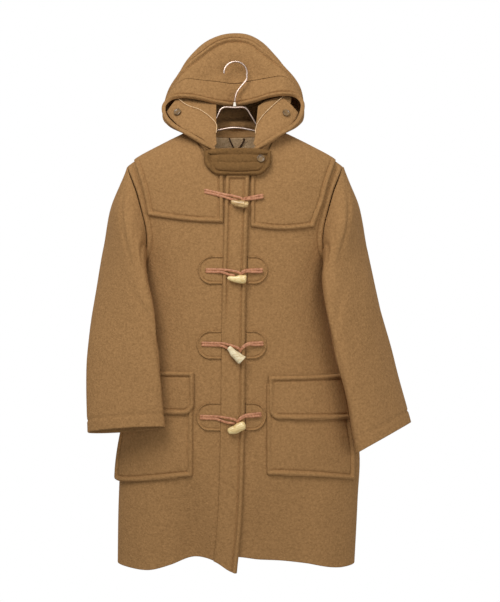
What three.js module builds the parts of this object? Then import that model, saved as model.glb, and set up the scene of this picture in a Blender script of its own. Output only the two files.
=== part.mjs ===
import * as THREE from "three";

// A duffle coat on a wire hanger, in millimetres with Z up. The front faces -Y, and the viewer's
// left is -X. The origin is the top of the inside of the hanger's hook.

// Cloth and the way its layers stack
const CLOTH = 3;
const SEAM_GAP = 0.3;
const LAYER_GAP = 0.6;
const FIRST_LAYER = CLOTH + LAYER_GAP;
const SECOND_LAYER = 2 * FIRST_LAYER;
const YOKE_GAP = 1.3;
const LINING = 1.2;

// Body
const HEM_Z = -1101;
const HEM_HALF_WIDTH = 260;
const HEM_START_X = { left: 4, right: 15 };
const PANEL_HEIGHT = 880;
const TOP_INSET = 0.02;
const COLUMNS_SETTLE = 0.3;
const NECK_X = 79.5;
const SHOULDER_TIP_X = 237;
const UNDERARM_Z = -440;
const SHOULDER_SLOPE = 0.54;
const NECK_ROUNDING = 60;
const SHOULDER_Z = -145.7;
const TIP_DROOP = { from: 195, rate: 0.003 };
const SHOULDER_ROUNDING = 45;
const ROUNDED_DEPTH = 90;
const SECTION_POWER = 2.2;
const SIDE_SEAM_SHARE = 4e-6;
const ARMHOLE_GAP = 3.9;
const SLEEVE_COLUMNS = 24;
const SLEEVE_ROWS = 12;

// Each section of the body: half widths, how far front and back stand from the middle, side seam
const bodySections = [
  { z: -120, left: 262, right: 262, front: 86, back: 80, seam: 0 },
  { z: -230, left: 258, right: 257, front: 86, back: 80, seam: 4 },
  { z: -340, left: 236, right: 236, front: 87, back: 81, seam: 12 },
  { z: -440, left: 212, right: 212, front: 89, back: 83, seam: 22 },
  { z: -560, left: 212, right: 212, front: 91, back: 85, seam: 26 },
  { z: -700, left: 228, right: 244, front: 93, back: 88, seam: 22 },
  { z: -850, left: 250, right: 274, front: 94, back: 90, seam: 12 },
  { z: -960, left: 256, right: 270, front: 92, back: 92, seam: 4 },
  { z: -1110, left: 258, right: 262, front: 90, back: 90, seam: 0 },
];

// Soft folds of the fronts: place, width, depth (plus is back into the body) and heights
const frontFolds = [
  { x: -92, width: 46, depth: 30, from: -860, to: -1101 },
  { x: 92, width: 60, depth: 16, from: -880, to: -1101 },
  { x: 190, width: 34, depth: -7, from: -820, to: -1101 },
  { x: -190, width: 34, depth: -6, from: -840, to: -1101 },
];
const backFolds = [
  { x: -120, width: 42, depth: 12, from: -700, to: -1101 },
  { x: 30, width: 48, depth: -9, from: -640, to: -1101 },
  { x: 150, width: 40, depth: 13, from: -720, to: -1101 },
];

// Front edge of the lapping side, from the neck to the hem, and the hem of each front. The other
// front runs on behind it.
const UNDERLAP_X = -14;
const UNDERLAP_FADE = { from: 60, over: 90 };
const frontEdge = [
  { z: -225, x: 33 },
  { z: -310, x: 30.5 },
  { z: -545, x: 24.5 },
  { z: -777, x: 22.4 },
  { z: -990, x: 16 },
  { z: -1101, x: 5.5 },
];
const hemLine = [
  { x: -260, z: -1098 },
  { x: -190, z: -1101 },
  { x: -140, z: -1090 },
  { x: -90, z: -1074 },
  { x: -45, z: -1080 },
  { x: -8, z: -1100 },
  { x: 8, z: -1099 },
  { x: 14, z: -1072 },
  { x: 80, z: -1078 },
  { x: 165, z: -1086 },
  { x: 225, z: -1099 },
  { x: 262, z: -1099 },
];

// Neck edge on the front panel and on the back panel
const frontNeck = [
  { x: 0, z: -240 },
  { x: 24, z: -236 },
  { x: 44, z: -226 },
  { x: 60, z: -205 },
  { x: 70, z: -182 },
  { x: 76, z: -163 },
  { x: NECK_X, z: -146 },
];
const backNeck = [
  { x: 0, z: -156 },
  { x: 30, z: -155.5 },
  { x: 60, z: -153 },
  { x: NECK_X, z: -146 },
];

// Armhole seam on the front and back panels, by height
const armholeSeam = [
  { z: -229, x: 237 },
  { z: -253, x: 227 },
  { z: -288, x: 213 },
  { z: -327, x: 202 },
  { z: -370, x: 192 },
  { z: -405, x: 191 },
  { z: -430, x: 200 },
  { z: UNDERARM_Z, x: 211 },
];

// Sleeve sections: middle, half width along the flat, half thickness, turn of the flat towards the
// front, and how much higher the outer side of the section is than its middle
const sleeveSections = {
  left: [
    { z: -360, x: 231, y: -8, wide: 66, thick: 35, turn: 70, rise: 1.3 },
    { z: -440, x: 239, y: -24, wide: 79, thick: 30, turn: 53, rise: 0.6 },
    { z: -525, x: 239, y: -46, wide: 85, thick: 29, turn: 39, rise: 0.25 },
    { z: -610, x: 239, y: -66, wide: 87, thick: 28, turn: 27, rise: 0.1 },
    { z: -700, x: 236, y: -84, wide: 87, thick: 27, turn: 19, rise: 0 },
    { z: -798, x: 229, y: -93, wide: 87, thick: 31, turn: 14, rise: -0.1 },
  ],
  right: [
    { z: -360, x: 232, y: -8, wide: 66, thick: 35, turn: 70, rise: 1.3 },
    { z: -440, x: 240, y: -24, wide: 80, thick: 30, turn: 54, rise: 0.6 },
    { z: -525, x: 254, y: -42, wide: 84, thick: 29, turn: 48, rise: 0.3 },
    { z: -610, x: 272, y: -50, wide: 86, thick: 28, turn: 47, rise: 0.28 },
    { z: -700, x: 295, y: -56, wide: 87, thick: 28, turn: 48, rise: 0.3 },
    { z: -818, x: 321, y: -60, wide: 88, thick: 34, turn: 46, rise: 0.38 },
  ],
};

// Yoke edge: outer side beside the armhole, and its straight lower edge
const yokeBottom = {
  left: { inner: -359, outer: -341, sag: 4 },
  right: { inner: -367, outer: -366, sag: 7 },
};
const YOKE_BACK_BOTTOM = -372;
const YOKE_RIGHT_TRIM = { depth: 11, fromZ: -300, over: 70 };
const YOKE_LEFT_EDGE_X = -23.3;
const YOKE_RIGHT_EDGE_X = 33.8;
const YOKE_SETBACK = 9;
const YOKE_NECK_DROP = 5;
const YOKE_HEIGHT = 215;
const yokeSide = [
  { z: -212, x: 222 },
  { z: -240, x: 211 },
  { z: -266, x: 202 },
  { z: -295, x: 194 },
  { z: -320, x: 189 },
  { z: -372, x: 180 },
];

// Placket strip and the patches under the lower three fastenings
const PLACKET_TOP_Z = -254;
const PLACKET_WIDTH = 51;
const PLACKET_INSET = 0.5;
const PLACKET_GAP = 1.5 * LAYER_GAP;
const PLACKET_HEM_X = 4;
const PATCH_REACH = { left: 52, right: 44 };
const PATCH_HEIGHT = 60;
const PATCH_CLEAR = 1.2;
const PATCH_RISE = 2;
const fastenings = [
  { z: -303, toggleX: 21, toggleZ: -311, tilt: -8, patches: false, lift: 2.9 },
  { z: -461, toggleX: 4, toggleZ: -476, tilt: -3, patches: true, lift: 0.4 },
  { z: -620, toggleX: 4, toggleZ: -636, tilt: -40, patches: true, lift: 2 },
  { z: -772, toggleX: 6, toggleZ: -794, tilt: 22, patches: true, lift: 0.2 },
];
const LEATHER_WIDTH = 10;
const LEATHER = 2.2;
const STRAP_GAP = 0.4;
const STRAP_SLOPE = 0.06;
const STRAP_LEVEL_X = 20;
const LOOP_START_X = -65;
const LOOP_END_X = 12;
const TAB_START_X = 14.5;
const TAB_END_X = 62;
const TOGGLE_LENGTH = 42;
const TOGGLE_RADIUS = 8;

// Pockets and flaps on the fronts
const pockets = {
  left: { inner: -88, outer: -0.985, top: -690, low: { inner: -898, outer: -913, sag: 8 }, corner: 7, spread: 9 },
  right: { inner: 68, outer: 0.94, top: -700, low: { inner: -895, outer: -914, sag: 0 }, corner: 7, spread: 0 },
};
const flaps = {
  left: { inner: -85, outer: -0.93, top: -675, low: { inner: -767, outer: -765, sag: 0 }, corner: 25 },
  right: { inner: 72, outer: 0.925, top: -684, low: { inner: -777, outer: -783, sag: 0 }, corner: 25 },
};
const POCKET_FULLNESS = 5;
const POCKET_MOUTH_FULLNESS = 0.15;
const POCKET_OUTER_CORNER = 0.12;
const POCKET_COLUMN_POWER = 0.9;
const pocketRows = [0, 0.16, 0.32, 0.48, 0.64, 0.8, 0.97, 0.99, 1];
const flapRows = [0, 0.35, 0.72, 0.84, 0.93, 0.98, 1];

// Hood, by rows from the throat along the rolled edge to the middle of the brim. Each row runs from
// the edge over the band seam, the crown seam and the top to the back of the hood.
const hoodRows = [
  {
    edge: [-40, -72, -197], band: [-41, -70, -204], crown: [-42, -69, -210],
    top: [-42, -69, -214], back: [-43, -69, -219],
  },
  {
    edge: [-68, -76, -181], band: [-67, -74, -187], crown: [-65, -71, -192],
    top: [-63, -69, -196], back: [-61, -67, -200],
  },
  {
    edge: [-96, -74, -165], band: [-95, -71, -171], crown: [-90, -68, -174],
    top: [-84, -66, -176], back: [-78, -64, -178],
  },
  {
    edge: [-123, -62, -150], band: [-121, -54, -157], crown: [-112, -49, -158],
    top: [-104, -46, -157], back: [-94, -44, -156],
  },
  {
    edge: [-142, -44, -132], band: [-146, -30, -137], crown: [-138, -20, -141],
    top: [-126, -14, -142], back: [-106, -8, -142],
  },
  {
    edge: [-153, -24, -111], band: [-158, -4, -116], crown: [-153, 16, -122],
    top: [-140, 26, -127], back: [-116, 32, -134],
  },
  {
    edge: [-152, -12, -94], band: [-159, 12, -92], crown: [-154, 38, -94],
    top: [-142, 54, -102], back: [-120, 64, -116],
  },
  {
    edge: [-138, -10, -83], band: [-143, 8, -62], crown: [-142, 30, -54],
    top: [-142, 56, -56], back: [-116, 88, -88],
  },
  {
    edge: [-109, -16, -81], band: [-112, -5, -37], crown: [-110, 14, -8],
    top: [-116, 48, 2], back: [-102, 100, -64],
  },
  {
    edge: [-76, -15, -85], band: [-78, -1, -37], crown: [-76, 18, 25],
    top: [-80, 50, 46], back: [-74, 108, -42],
  },
  {
    edge: [-40, -4, -92], band: [-42, 8, -39], crown: [-38, 25, 52],
    top: [-40, 54, 69], back: [-38, 113, -30],
  },
  {
    edge: [-1, 9, -94], band: [0, 16, -43], crown: [0, 30, 61],
    top: [0, 57, 77], back: [0, 115, -26],
  },
];

// How much narrower the viewer's right half of the hood hangs, by height
const hoodRightWidth = [
  { z: -200, scale: 1.03 },
  { z: -150, scale: 0.96 },
  { z: -100, scale: 0.95 },
  { z: -62, scale: 0.98 },
  { z: -30, scale: 0.97 },
  { z: 0, scale: 0.9 },
  { z: 40, scale: 0.82 },
  { z: 80, scale: 0.8 },
];
const HOOD_RIGHT_RISE = 5;
const HOOD_RISE_ABOVE_Z = -120;
const HOOD_RISE_OVER = 80;
const HOOD_GAP = 3.5 * SEAM_GAP;

// Neck place of each hood row, from the throat round to the middle of the back
const hoodNeck = [
  { x: 44, side: -1, lift: 1.4 },
  { x: 60, side: -1, lift: 1.4 },
  { x: 70, side: -1, lift: 2.5 },
  { x: 76, side: -1, lift: 4.5 },
  { x: NECK_X, side: 1, lift: 5 },
  { x: 76, side: 1, lift: 4 },
  { x: 69, side: 1, lift: 2 },
  { x: 60, side: 1, lift: 1.4 },
  { x: 47, side: 1, lift: 1.4 },
  { x: 32, side: 1, lift: 1.4 },
  { x: 16, side: 1, lift: 1.4 },
  { x: 0, side: 1, lift: 1.4 },
];
const HOOD_NECK_SCALE = 0.955;

// Facings of the two rolled edges below the brim: outer side by the edge, inner side at the fold
const facingRows = {
  left: [
    { edge: [-48, -72, -190], fold: [-38.5, -68, -188] },
    { edge: [-67, -71, -171], fold: [-39.5, -56, -164] },
    { edge: [-93, -66, -155], fold: [-40.5, -44, -142] },
    { edge: [-118, -53, -140], fold: [-68, -33, -112] },
    { edge: [-138, -34, -120], fold: [-112, -20, -104] },
  ],
  right: [
    { edge: [48.6, -71, -191], fold: [41, -68, -187] },
    { edge: [65, -71, -175], fold: [44, -57, -166] },
    { edge: [89.2, -66, -158.6], fold: [48, -45, -144] },
    { edge: [114.4, -53, -141.6], fold: [60, -36, -124] },
    { edge: [131.5, -36, -122.5], fold: [84, -24, -102] },
  ],
};
const innerFoldRows = {
  left: [
    { low: [-40, -41.6, -144], high: [-41, -12, -101] },
    { low: [-60, -32, -124], high: [-62, -11, -99] },
    { low: [-82, -22, -108], high: [-84, -10, -96] },
  ],
  right: [
    { low: [54, -36, -134], high: [66, -14, -102] },
    { low: [70, -28, -116], high: [80, -13, -98] },
    { low: [86, -20, -102], high: [94, -12, -92] },
  ],
};
const TURN_IN_CLOTH = 2;
const FACING_BULGE = 5;
const HOOD_BUTTON_LIFT = 0.6;
const HOOD_BUTTON_PLACE = { along: 0.92, inward: 0.42 };

// Throat flap and its button
const FLAP_TOP_Z = -201;
const FLAP_BOTTOM_Z = -258;
const FLAP_LEFT_X = -66;
const FLAP_RIGHT_X = 77;
const FLAP_CORNER = { from: 0.55, cut: 27, power: 2.2 };
const FLAP_DROOP = 4;
const FLAP_GAP = 6.1;
const FLAP_CLOTH = 4;
const BUTTON_RADIUS = 8.5;
const BUTTON_HEIGHT = 3.4;
const BUTTON_LIFT = 1.1;
const THROAT_BUTTON = { x: 56, z: -221 };

// Inside back neck
const NECK_FACING = { halfWidth: 68, drop: 58, below: 1, roundness: 0.96 };
const FACING_BEHIND = CLOTH + 4 * LAYER_GAP + LINING;
const LOOP_CORD_RADIUS = 1.6;
const loopRoute = [
  [-14, -159],
  [-10, -168],
  [-3, -181],
  [3, -184],
  [9, -180],
  [18, -167],
  [20, -160],
];

// Hanger wire
const WIRE_RADIUS = 1.9;
const HOOK_RADIUS = 25.5;
const HOOK_MIDDLE_X = 1;
const HOOK_ANGLES = { tip: 184, tail: -12 };
const hookTail = [
  [25.5, 0, -37],
  [16.5, 0, -49],
  [5, 0, -64],
  [0, 0, -80],
  [-0.6, 0, -87.5],
];
const COLLAR = { x: -0.6, top: -87.9, bottom: -96.8, radius: 3.6, topRadius: 2.5 };
const FRAME_TOP_Z = -99.2;
const frameRoute = [
  [-57, 0, -149],
  [-52, 0, -141],
  [-38, 0, -115.5],
  [-32, 0, -104],
  [-25, 0, FRAME_TOP_Z],
  [0, 0, FRAME_TOP_Z],
  [20, 0, FRAME_TOP_Z],
  [27, 0, -104],
  [34, 0, -115],
  [50, 0, -141],
  [56, 0, -149.5],
];
const armMiddle = [
  { x: 0, z: -143.5 },
  { x: 46, z: -151 },
  { x: 80, z: -160 },
];
const ARM_SEATS = [115, 145, 175, 205];
const ARM_TIP_X = 216;
const ARM_TIP_DROP = 1.5;
const ARM_BELOW_RIDGE = CLOTH + 3.1;

// Colours
const camel = new THREE.MeshStandardMaterial({ color: 0x9c7850, roughness: 0.95 });
const facingCloth = new THREE.MeshStandardMaterial({ color: 0xa68a63, roughness: 0.9 });
const leather = new THREE.MeshStandardMaterial({ color: 0xbe8b64, roughness: 0.6 });
const horn = new THREE.MeshStandardMaterial({ color: 0xe3d0a2, roughness: 0.35 });
const buttonHorn = new THREE.MeshStandardMaterial({ color: 0x6b5233, roughness: 0.4 });
const braid = new THREE.MeshStandardMaterial({ color: 0x4a2f1c, roughness: 0.8 });
const steel = new THREE.MeshStandardMaterial({ color: 0xd9d4cf, roughness: 0.2, metalness: 1 });
const collarWhite = new THREE.MeshStandardMaterial({ color: 0xefe6d6, roughness: 0.5 });

const coat = new THREE.Group();

// Adds one named piece to the coat.
function add(name, geometry, material) {
  const mesh = new THREE.Mesh(geometry, material);
  mesh.name = name;
  coat.add(mesh);
  return mesh;
}

// One value of a table row, by a smooth curve through the rows' values.
function valueAt(rows, key, by, place) {
  const rising = rows[rows.length - 1][by] > rows[0][by];
  const ordered = rising ? rows : [...rows].reverse();
  let i = 0;
  while (i < ordered.length - 2 && place > ordered[i + 1][by]) i += 1;
  const a = ordered[i];
  const b = ordered[i + 1];
  const before = ordered[Math.max(i - 1, 0)];
  const after = ordered[Math.min(i + 2, ordered.length - 1)];
  const span = b[by] - a[by];
  const t = THREE.MathUtils.clamp((place - a[by]) / span, 0, 1);
  const slopeA = a === before ? (b[key] - a[key]) / span : (b[key] - before[key]) / (b[by] - before[by]);
  const slopeB = b === after ? (b[key] - a[key]) / span : (after[key] - a[key]) / (after[by] - a[by]);
  const t2 = t * t;
  const t3 = t2 * t;
  return (
    (2 * t3 - 3 * t2 + 1) * a[key] +
    (t3 - 2 * t2 + t) * span * slopeA +
    (3 * t2 - 2 * t3) * b[key] +
    (t3 - t2) * span * slopeB
  );
}

function curve(points) {
  return new THREE.CatmullRomCurve3(points, false, "centripetal");
}

function smooth(t) {
  const c = THREE.MathUtils.clamp(t, 0, 1);
  return c * c * (3 - 2 * c);
}

function spread(count) {
  return Array.from({ length: count + 1 }, (_, i) => i / count);
}

// Height of the shoulder ridge.
function ridge(x) {
  const droop = TIP_DROOP.rate * Math.max(Math.abs(x) - TIP_DROOP.from, 0) ** 2;
  const run = Math.hypot(x, NECK_ROUNDING) - Math.hypot(NECK_X, NECK_ROUNDING);
  return SHOULDER_Z - SHOULDER_SLOPE * run - droop;
}

function halfWidth(x, z) {
  return valueAt(bodySections, x < 0 ? "left" : "right", "z", z);
}

function foldDepth(folds, x, z) {
  let depth = 0;
  for (const fold of folds) {
    const run = smooth((z - fold.from) / (fold.to - fold.from));
    depth += fold.depth * run * Math.exp(-(((x - fold.x) / fold.width) ** 2));
  }
  return depth;
}

// A point of the body's outer face: side is -1 for the front and 1 for the back.
function bodyPoint(x, z, side) {
  const across = Math.min(Math.abs(x) / halfWidth(x, z), 1);
  const swell = (1 - across ** SECTION_POWER) ** (1 / SECTION_POWER);
  const below = Math.max(ridge(x) - z, 0);
  const fill = Math.sqrt(below / (below + SHOULDER_ROUNDING));
  const depth = valueAt(bodySections, side < 0 ? "front" : "back", "z", z);
  const seam = valueAt(bodySections, "seam", "z", z);
  const fold = foldDepth(side < 0 ? frontFolds : backFolds, x, z) * swell;
  return new THREE.Vector3(x, seam * (1 - swell) + side * depth * swell * fill - side * fold, z);
}

// Unit normal of a surface, by small steps along it.
function normalOf(point, u, v) {
  const step = 1e-3;
  const u0 = Math.max(u - step, 0);
  const u1 = Math.min(u + step, 1);
  const v0 = Math.max(v - step, 0);
  const v1 = Math.min(v + step, 1);
  const along = point(u1, v).sub(point(u0, v));
  const down = point(u, v1).sub(point(u, v0));
  return along.cross(down).normalize();
}

// A closed wall on a surface, from out to out + thick along its normal. turned swaps the normal,
// and ring joins the last column to the first.
function wall(point, us, vs, { thick = CLOTH, turned = false, ring = false, out = 0 } = {}) {
  const sign = turned ? -1 : 1;
  const columns = ring ? us.length - 1 : us.length;
  const outer = [];
  const inner = [];
  for (const v of vs) {
    for (let i = 0; i < columns; i += 1) {
      const normal = normalOf(point, us[i], v).multiplyScalar(sign);
      if (ring && i === 0) {
        const seamNormal = normalOf(point, 1, v).multiplyScalar(sign);
        normal.add(seamNormal).normalize();
      }
      const p = point(us[i], v);
      outer.push(p.clone().addScaledVector(normal, out + thick));
      inner.push(p.clone().addScaledVector(normal, out));
    }
  }
  const points = [...outer, ...inner];
  const faces = [];
  const shift = outer.length;
  const quad = (a, b, c, d) => faces.push(a, b, c, a, c, d);
  const rows = vs.length;
  const spans = ring ? columns : columns - 1;
  for (let r = 0; r < rows - 1; r += 1) {
    for (let i = 0; i < spans; i += 1) {
      const next = (i + 1) % columns;
      const a = r * columns + i;
      const b = r * columns + next;
      const c = (r + 1) * columns + next;
      const d = (r + 1) * columns + i;
      quad(a, b, c, d);
      quad(shift + d, shift + c, shift + b, shift + a);
    }
    if (!ring) {
      const left = r * columns;
      const right = left + columns - 1;
      quad(left, left + columns, shift + left + columns, shift + left);
      quad(shift + right, shift + right + columns, right + columns, right);
    }
  }
  for (let i = 0; i < spans; i += 1) {
    const next = (i + 1) % columns;
    const low = (rows - 1) * columns;
    quad(next, i, shift + i, shift + next);
    quad(low + i, low + next, shift + low + next, shift + low + i);
  }
  return closedGeometry(points, faces);
}

// A geometry from shared points, its faces turned to point out.
function closedGeometry(points, faces) {
  let volume = 0;
  for (let i = 0; i < faces.length; i += 3) {
    const [a, b, c] = [points[faces[i]], points[faces[i + 1]], points[faces[i + 2]]];
    volume += a.dot(b.clone().cross(c));
  }
  const ordered = volume < 0 ? faces.slice().reverse() : faces;
  const geometry = new THREE.BufferGeometry();
  geometry.setAttribute("position", new THREE.Float32BufferAttribute(points.flatMap((p) => p.toArray()), 3));
  geometry.setIndex(ordered);
  geometry.computeVertexNormals();
  return geometry;
}

// A layer on the body from an outline of rows: across gives x for a place (u, v), down gives z.
function layer(across, down, side, us, vs, options) {
  const surface = (u, v) => {
    const z = down(u, v);
    return bodyPoint(across(u, v, z), z, side);
  };
  return wall(surface, us, vs, options);
}

// How far the underlapping right front lies behind the body's face, beside the placket.
function underlap(x) {
  return FIRST_LAYER * (1 - smooth((x - UNDERLAP_FADE.from) / UNDERLAP_FADE.over));
}

function rightLayer(across, down, us, vs, options) {
  const surface = (u, v) => {
    const z = down(u, v);
    const x = across(u, v, z);
    const p = bodyPoint(x, z, -1);
    p.y += underlap(x);
    return p;
  };
  return wall(surface, us, vs, options);
}

// The back's share of the gap between it and the fronts.
function backSet(p) {
  p.y = Math.max(p.y, 0) + 2 * SEAM_GAP;
  return p;
}

// Outer edge of a panel: the armhole seam and then the side seam.
function panelSide(x, z) {
  const sign = Math.sign(x);
  const seamZ = Math.min(z, armholeSeam[0].z);
  if (z > UNDERARM_Z) return sign * (valueAt(armholeSeam, "x", "z", seamZ) - SEAM_GAP);
  return sign * halfWidth(x, z) * (1 - SIDE_SEAM_SHARE);
}

function neckOrRidge(neck, x) {
  const out = Math.abs(x);
  if (out < NECK_X) return valueAt(neck, "z", "x", out);
  return ridge(x);
}

// Rows down a panel of a given height: close together over the rounded shoulder, then even.
function rowsDown(height, fine, even) {
  const full = Math.sqrt(ROUNDED_DEPTH / (ROUNDED_DEPTH + SHOULDER_ROUNDING));
  const round = spread(fine).map((t) => (SHOULDER_ROUNDING * (full * t) ** 2) / (1 - (full * t) ** 2));
  const rest = spread(even).slice(1).map((t) => THREE.MathUtils.lerp(ROUNDED_DEPTH, height, t));
  return [...round, ...rest].map((drop) => drop / height);
}

// Columns of a front: where each starts at the neck or shoulder, and its share of the width below.
const neckColumns = [34, 50, 62, 72, 79, 85, 90].map((a) => NECK_X * Math.sin(THREE.MathUtils.degToRad(a)));
const frontColumns = [33, 0, ...neckColumns.map((x) => -x), -100, -130, -164, -200, -SHOULDER_TIP_X];
const yokeColumns = [...neckColumns.map((x) => x + YOKE_SETBACK), 114, 140, 168, 196, 222];
const backColumns = [0, 32, 60, NECK_X, 90, 108, 135, 165, 195, 219, SHOULDER_TIP_X];
const yokeBackColumns = [0, 32, 60, NECK_X, 85, NECK_X + YOKE_SETBACK, 100, 118, 140, 168, 196, 222];
const columnShare = (t) => 0.55 * t + 0.45 * Math.sin((t * Math.PI) / 2);

// The place along the top where a column starts, for a share of the columns.
function columnTop(tops, u) {
  const place = Math.min(u * (tops.length - 1), tops.length - 1 - 1e-9);
  const i = Math.floor(place);
  return THREE.MathUtils.lerp(tops[i], tops[i + 1], place - i);
}

// A front panel from its front edge to the side seam.
function frontPanel(sign) {
  const edge = (z) => (sign < 0 ? valueAt(frontEdge, "x", "z", z) : UNDERLAP_X);
  const side = (z) => panelSide(sign, z);
  const hemStart = sign < 0 ? HEM_START_X.left : HEM_START_X.right;
  const topEdge = edge(frontNeck[0].z);
  const tops = frontColumns.map((x) => (sign > 0 && x > 0 ? topEdge : -sign * x));
  const topX = (u) => columnTop(tops, u);
  const down = (u, v) => {
    const top = neckOrRidge(frontNeck, topX(u)) - TOP_INSET;
    const hemX = THREE.MathUtils.lerp(hemStart, sign * HEM_HALF_WIDTH, columnShare(u));
    const hem = valueAt(hemLine, "z", "x", hemX);
    return THREE.MathUtils.lerp(top, hem, v);
  };
  const across = (u, v, z) => {
    const share = (topX(u) - topEdge) / (sign * SHOULDER_TIP_X - topEdge);
    const settled = smooth(v / COLUMNS_SETTLE);
    return THREE.MathUtils.lerp(edge(z), side(z), THREE.MathUtils.lerp(share, columnShare(u), settled));
  };
  const us = spread(tops.length - 1);
  const vs = rowsDown(PANEL_HEIGHT, 9, 12);
  const options = { out: -CLOTH, turned: sign > 0 };
  if (sign < 0) return layer(across, down, -1, us, vs, options);
  return rightLayer(across, down, us, vs, options);
}

function backPanel() {
  const half = backColumns.map((x) => x / SHOULDER_TIP_X);
  const all = [...half.slice(1).reverse().map((u) => 0.5 - u / 2), ...half.map((u) => 0.5 + u / 2)];
  const topX = (u) => (2 * u - 1) * SHOULDER_TIP_X;
  const down = (u, v) => THREE.MathUtils.lerp(neckOrRidge(backNeck, topX(u)) - TOP_INSET, HEM_Z, v);
  const across = (u, v, z) => {
    const sign = u < 0.5 ? -1 : 1;
    return Math.abs(2 * u - 1) * panelSide(sign, z);
  };
  const surface = (u, v) => {
    const z = down(u, v);
    const p = bodyPoint(across(u, v, z), z, 1);
    return backSet(p);
  };
  return wall(surface, all, rowsDown(PANEL_HEIGHT, 8, 12), { out: -CLOTH });
}

// Armhole ring of the body: 0 is the shoulder tip, a quarter is the front, a half the underarm.
function armholePoint(turn, sign) {
  const angle = turn * Math.PI * 2;
  const middle = (armholeSeam[0].z + UNDERARM_Z) / 2;
  const reach = (armholeSeam[0].z - UNDERARM_Z) / 2;
  const z = middle + reach * Math.cos(angle);
  const x = sign * valueAt(armholeSeam, "x", "z", z);
  return bodyPoint(x, z, turn < 0.5 ? -1 : 1);
}

function sleevePoint(section, turn, sign) {
  const angle = turn * Math.PI * 2;
  const facing = THREE.MathUtils.degToRad(section.turn);
  const along = section.wide * Math.sin(angle);
  const out = section.thick * Math.cos(angle);
  const dx = -Math.cos(facing) * along + Math.sin(facing) * out;
  const dy = -Math.sin(facing) * along - Math.cos(facing) * out;
  return new THREE.Vector3(sign * (section.x + dx), section.y + dy, section.z + section.rise * dx);
}

// A sleeve lofted from the armhole through its sections.
function sleeve(name, sign) {
  const sections = sleeveSections[name];
  const count = SLEEVE_COLUMNS;
  const curves = spread(count).map((turn) => {
    const start = armholePoint(turn % 1, sign);
    start.x += sign * ARMHOLE_GAP;
    const route = [start, ...sections.map((s) => sleevePoint(s, turn, sign))];
    return curve(route);
  });
  const surface = (u, v) => {
    const place = (u % 1) * count;
    const low = Math.floor(place);
    const t = place - low;
    const a = curves[low].getPoint(v);
    return t < 1e-9 ? a : a.lerp(curves[(low + 1) % count].getPoint(v), t);
  };
  return wall(surface, spread(count), spread(SLEEVE_ROWS), { ring: true, out: -CLOTH, turned: sign < 0 });
}

// Yoke pieces: the second layer over the shoulders.
function yokeFront(sign) {
  const bottom = sign < 0 ? yokeBottom.left : yokeBottom.right;
  const trim = sign < 0 ? 0 : YOKE_RIGHT_TRIM.depth;
  const edge = sign < 0 ? YOKE_LEFT_EDGE_X : YOKE_RIGHT_EDGE_X;
  const tops = [edge, ...yokeColumns.map((x) => sign * x)];
  const topX = (u) => columnTop(tops, u);
  const down = (u, v) => {
    const x = topX(u);
    const out = Math.abs(x) - YOKE_SETBACK;
    const top = out < NECK_X ? valueAt(frontNeck, "z", "x", Math.max(out, 0)) - YOKE_NECK_DROP : ridge(x);
    const low = THREE.MathUtils.lerp(bottom.inner, bottom.outer, u) - bottom.sag * Math.sin(Math.PI * u);
    return THREE.MathUtils.lerp(Math.min(top, ridge(x)) - TOP_INSET, low, v);
  };
  const across = (u, v, z) => {
    const inset = trim * smooth((YOKE_RIGHT_TRIM.fromZ - z) / YOKE_RIGHT_TRIM.over);
    const outer = sign * (valueAt(yokeSide, "x", "z", Math.min(z, yokeSide[0].z)) - inset);
    return THREE.MathUtils.lerp(edge, outer, (topX(u) - edge) / (sign * yokeSide[0].x - edge));
  };
  const vs = rowsDown(YOKE_HEIGHT, 8, 2);
  const us = spread(yokeColumns.length);
  const options = { out: YOKE_GAP, turned: sign > 0 };
  if (sign < 0) return layer(across, down, -1, us, vs, options);
  return rightLayer(across, down, us, vs, options);
}

function yokeBack() {
  const topX = (u) => (2 * u - 1) * yokeSide[0].x;
  const down = (u, v) => {
    const x = Math.abs(topX(u));
    const inside = x - YOKE_SETBACK;
    const neck = valueAt(backNeck, "z", "x", Math.max(inside, 0)) - YOKE_NECK_DROP;
    const top = inside < NECK_X ? neck : ridge(x);
    return THREE.MathUtils.lerp(Math.min(top, ridge(x)) - TOP_INSET, YOKE_BACK_BOTTOM, v);
  };
  const across = (u, v, z) => {
    return (2 * u - 1) * valueAt(yokeSide, "x", "z", Math.min(z, yokeSide[0].z));
  };
  const surface = (u, v) => {
    const z = down(u, v);
    const p = bodyPoint(across(u, v, z), z, 1);
    return backSet(p);
  };
  const half = yokeBackColumns.map((x) => x / yokeSide[0].x);
  const us = [...half.slice(1).reverse().map((u) => 0.5 - u / 2), ...half.map((u) => 0.5 + u / 2)];
  return wall(surface, us, rowsDown(YOKE_HEIGHT, 8, 2), { out: YOKE_GAP });
}

function placket() {
  const across = (u, v, z) => valueAt(frontEdge, "x", "z", z) - PLACKET_INSET - PLACKET_WIDTH * (1 - u);
  const down = (u, v) => {
    const hem = valueAt(hemLine, "z", "x", PLACKET_HEM_X - PLACKET_WIDTH * (1 - u));
    return THREE.MathUtils.lerp(PLACKET_TOP_Z, hem, v);
  };
  return layer(across, down, -1, spread(3), spread(14), { out: PLACKET_GAP, turned: true });
}

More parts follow.
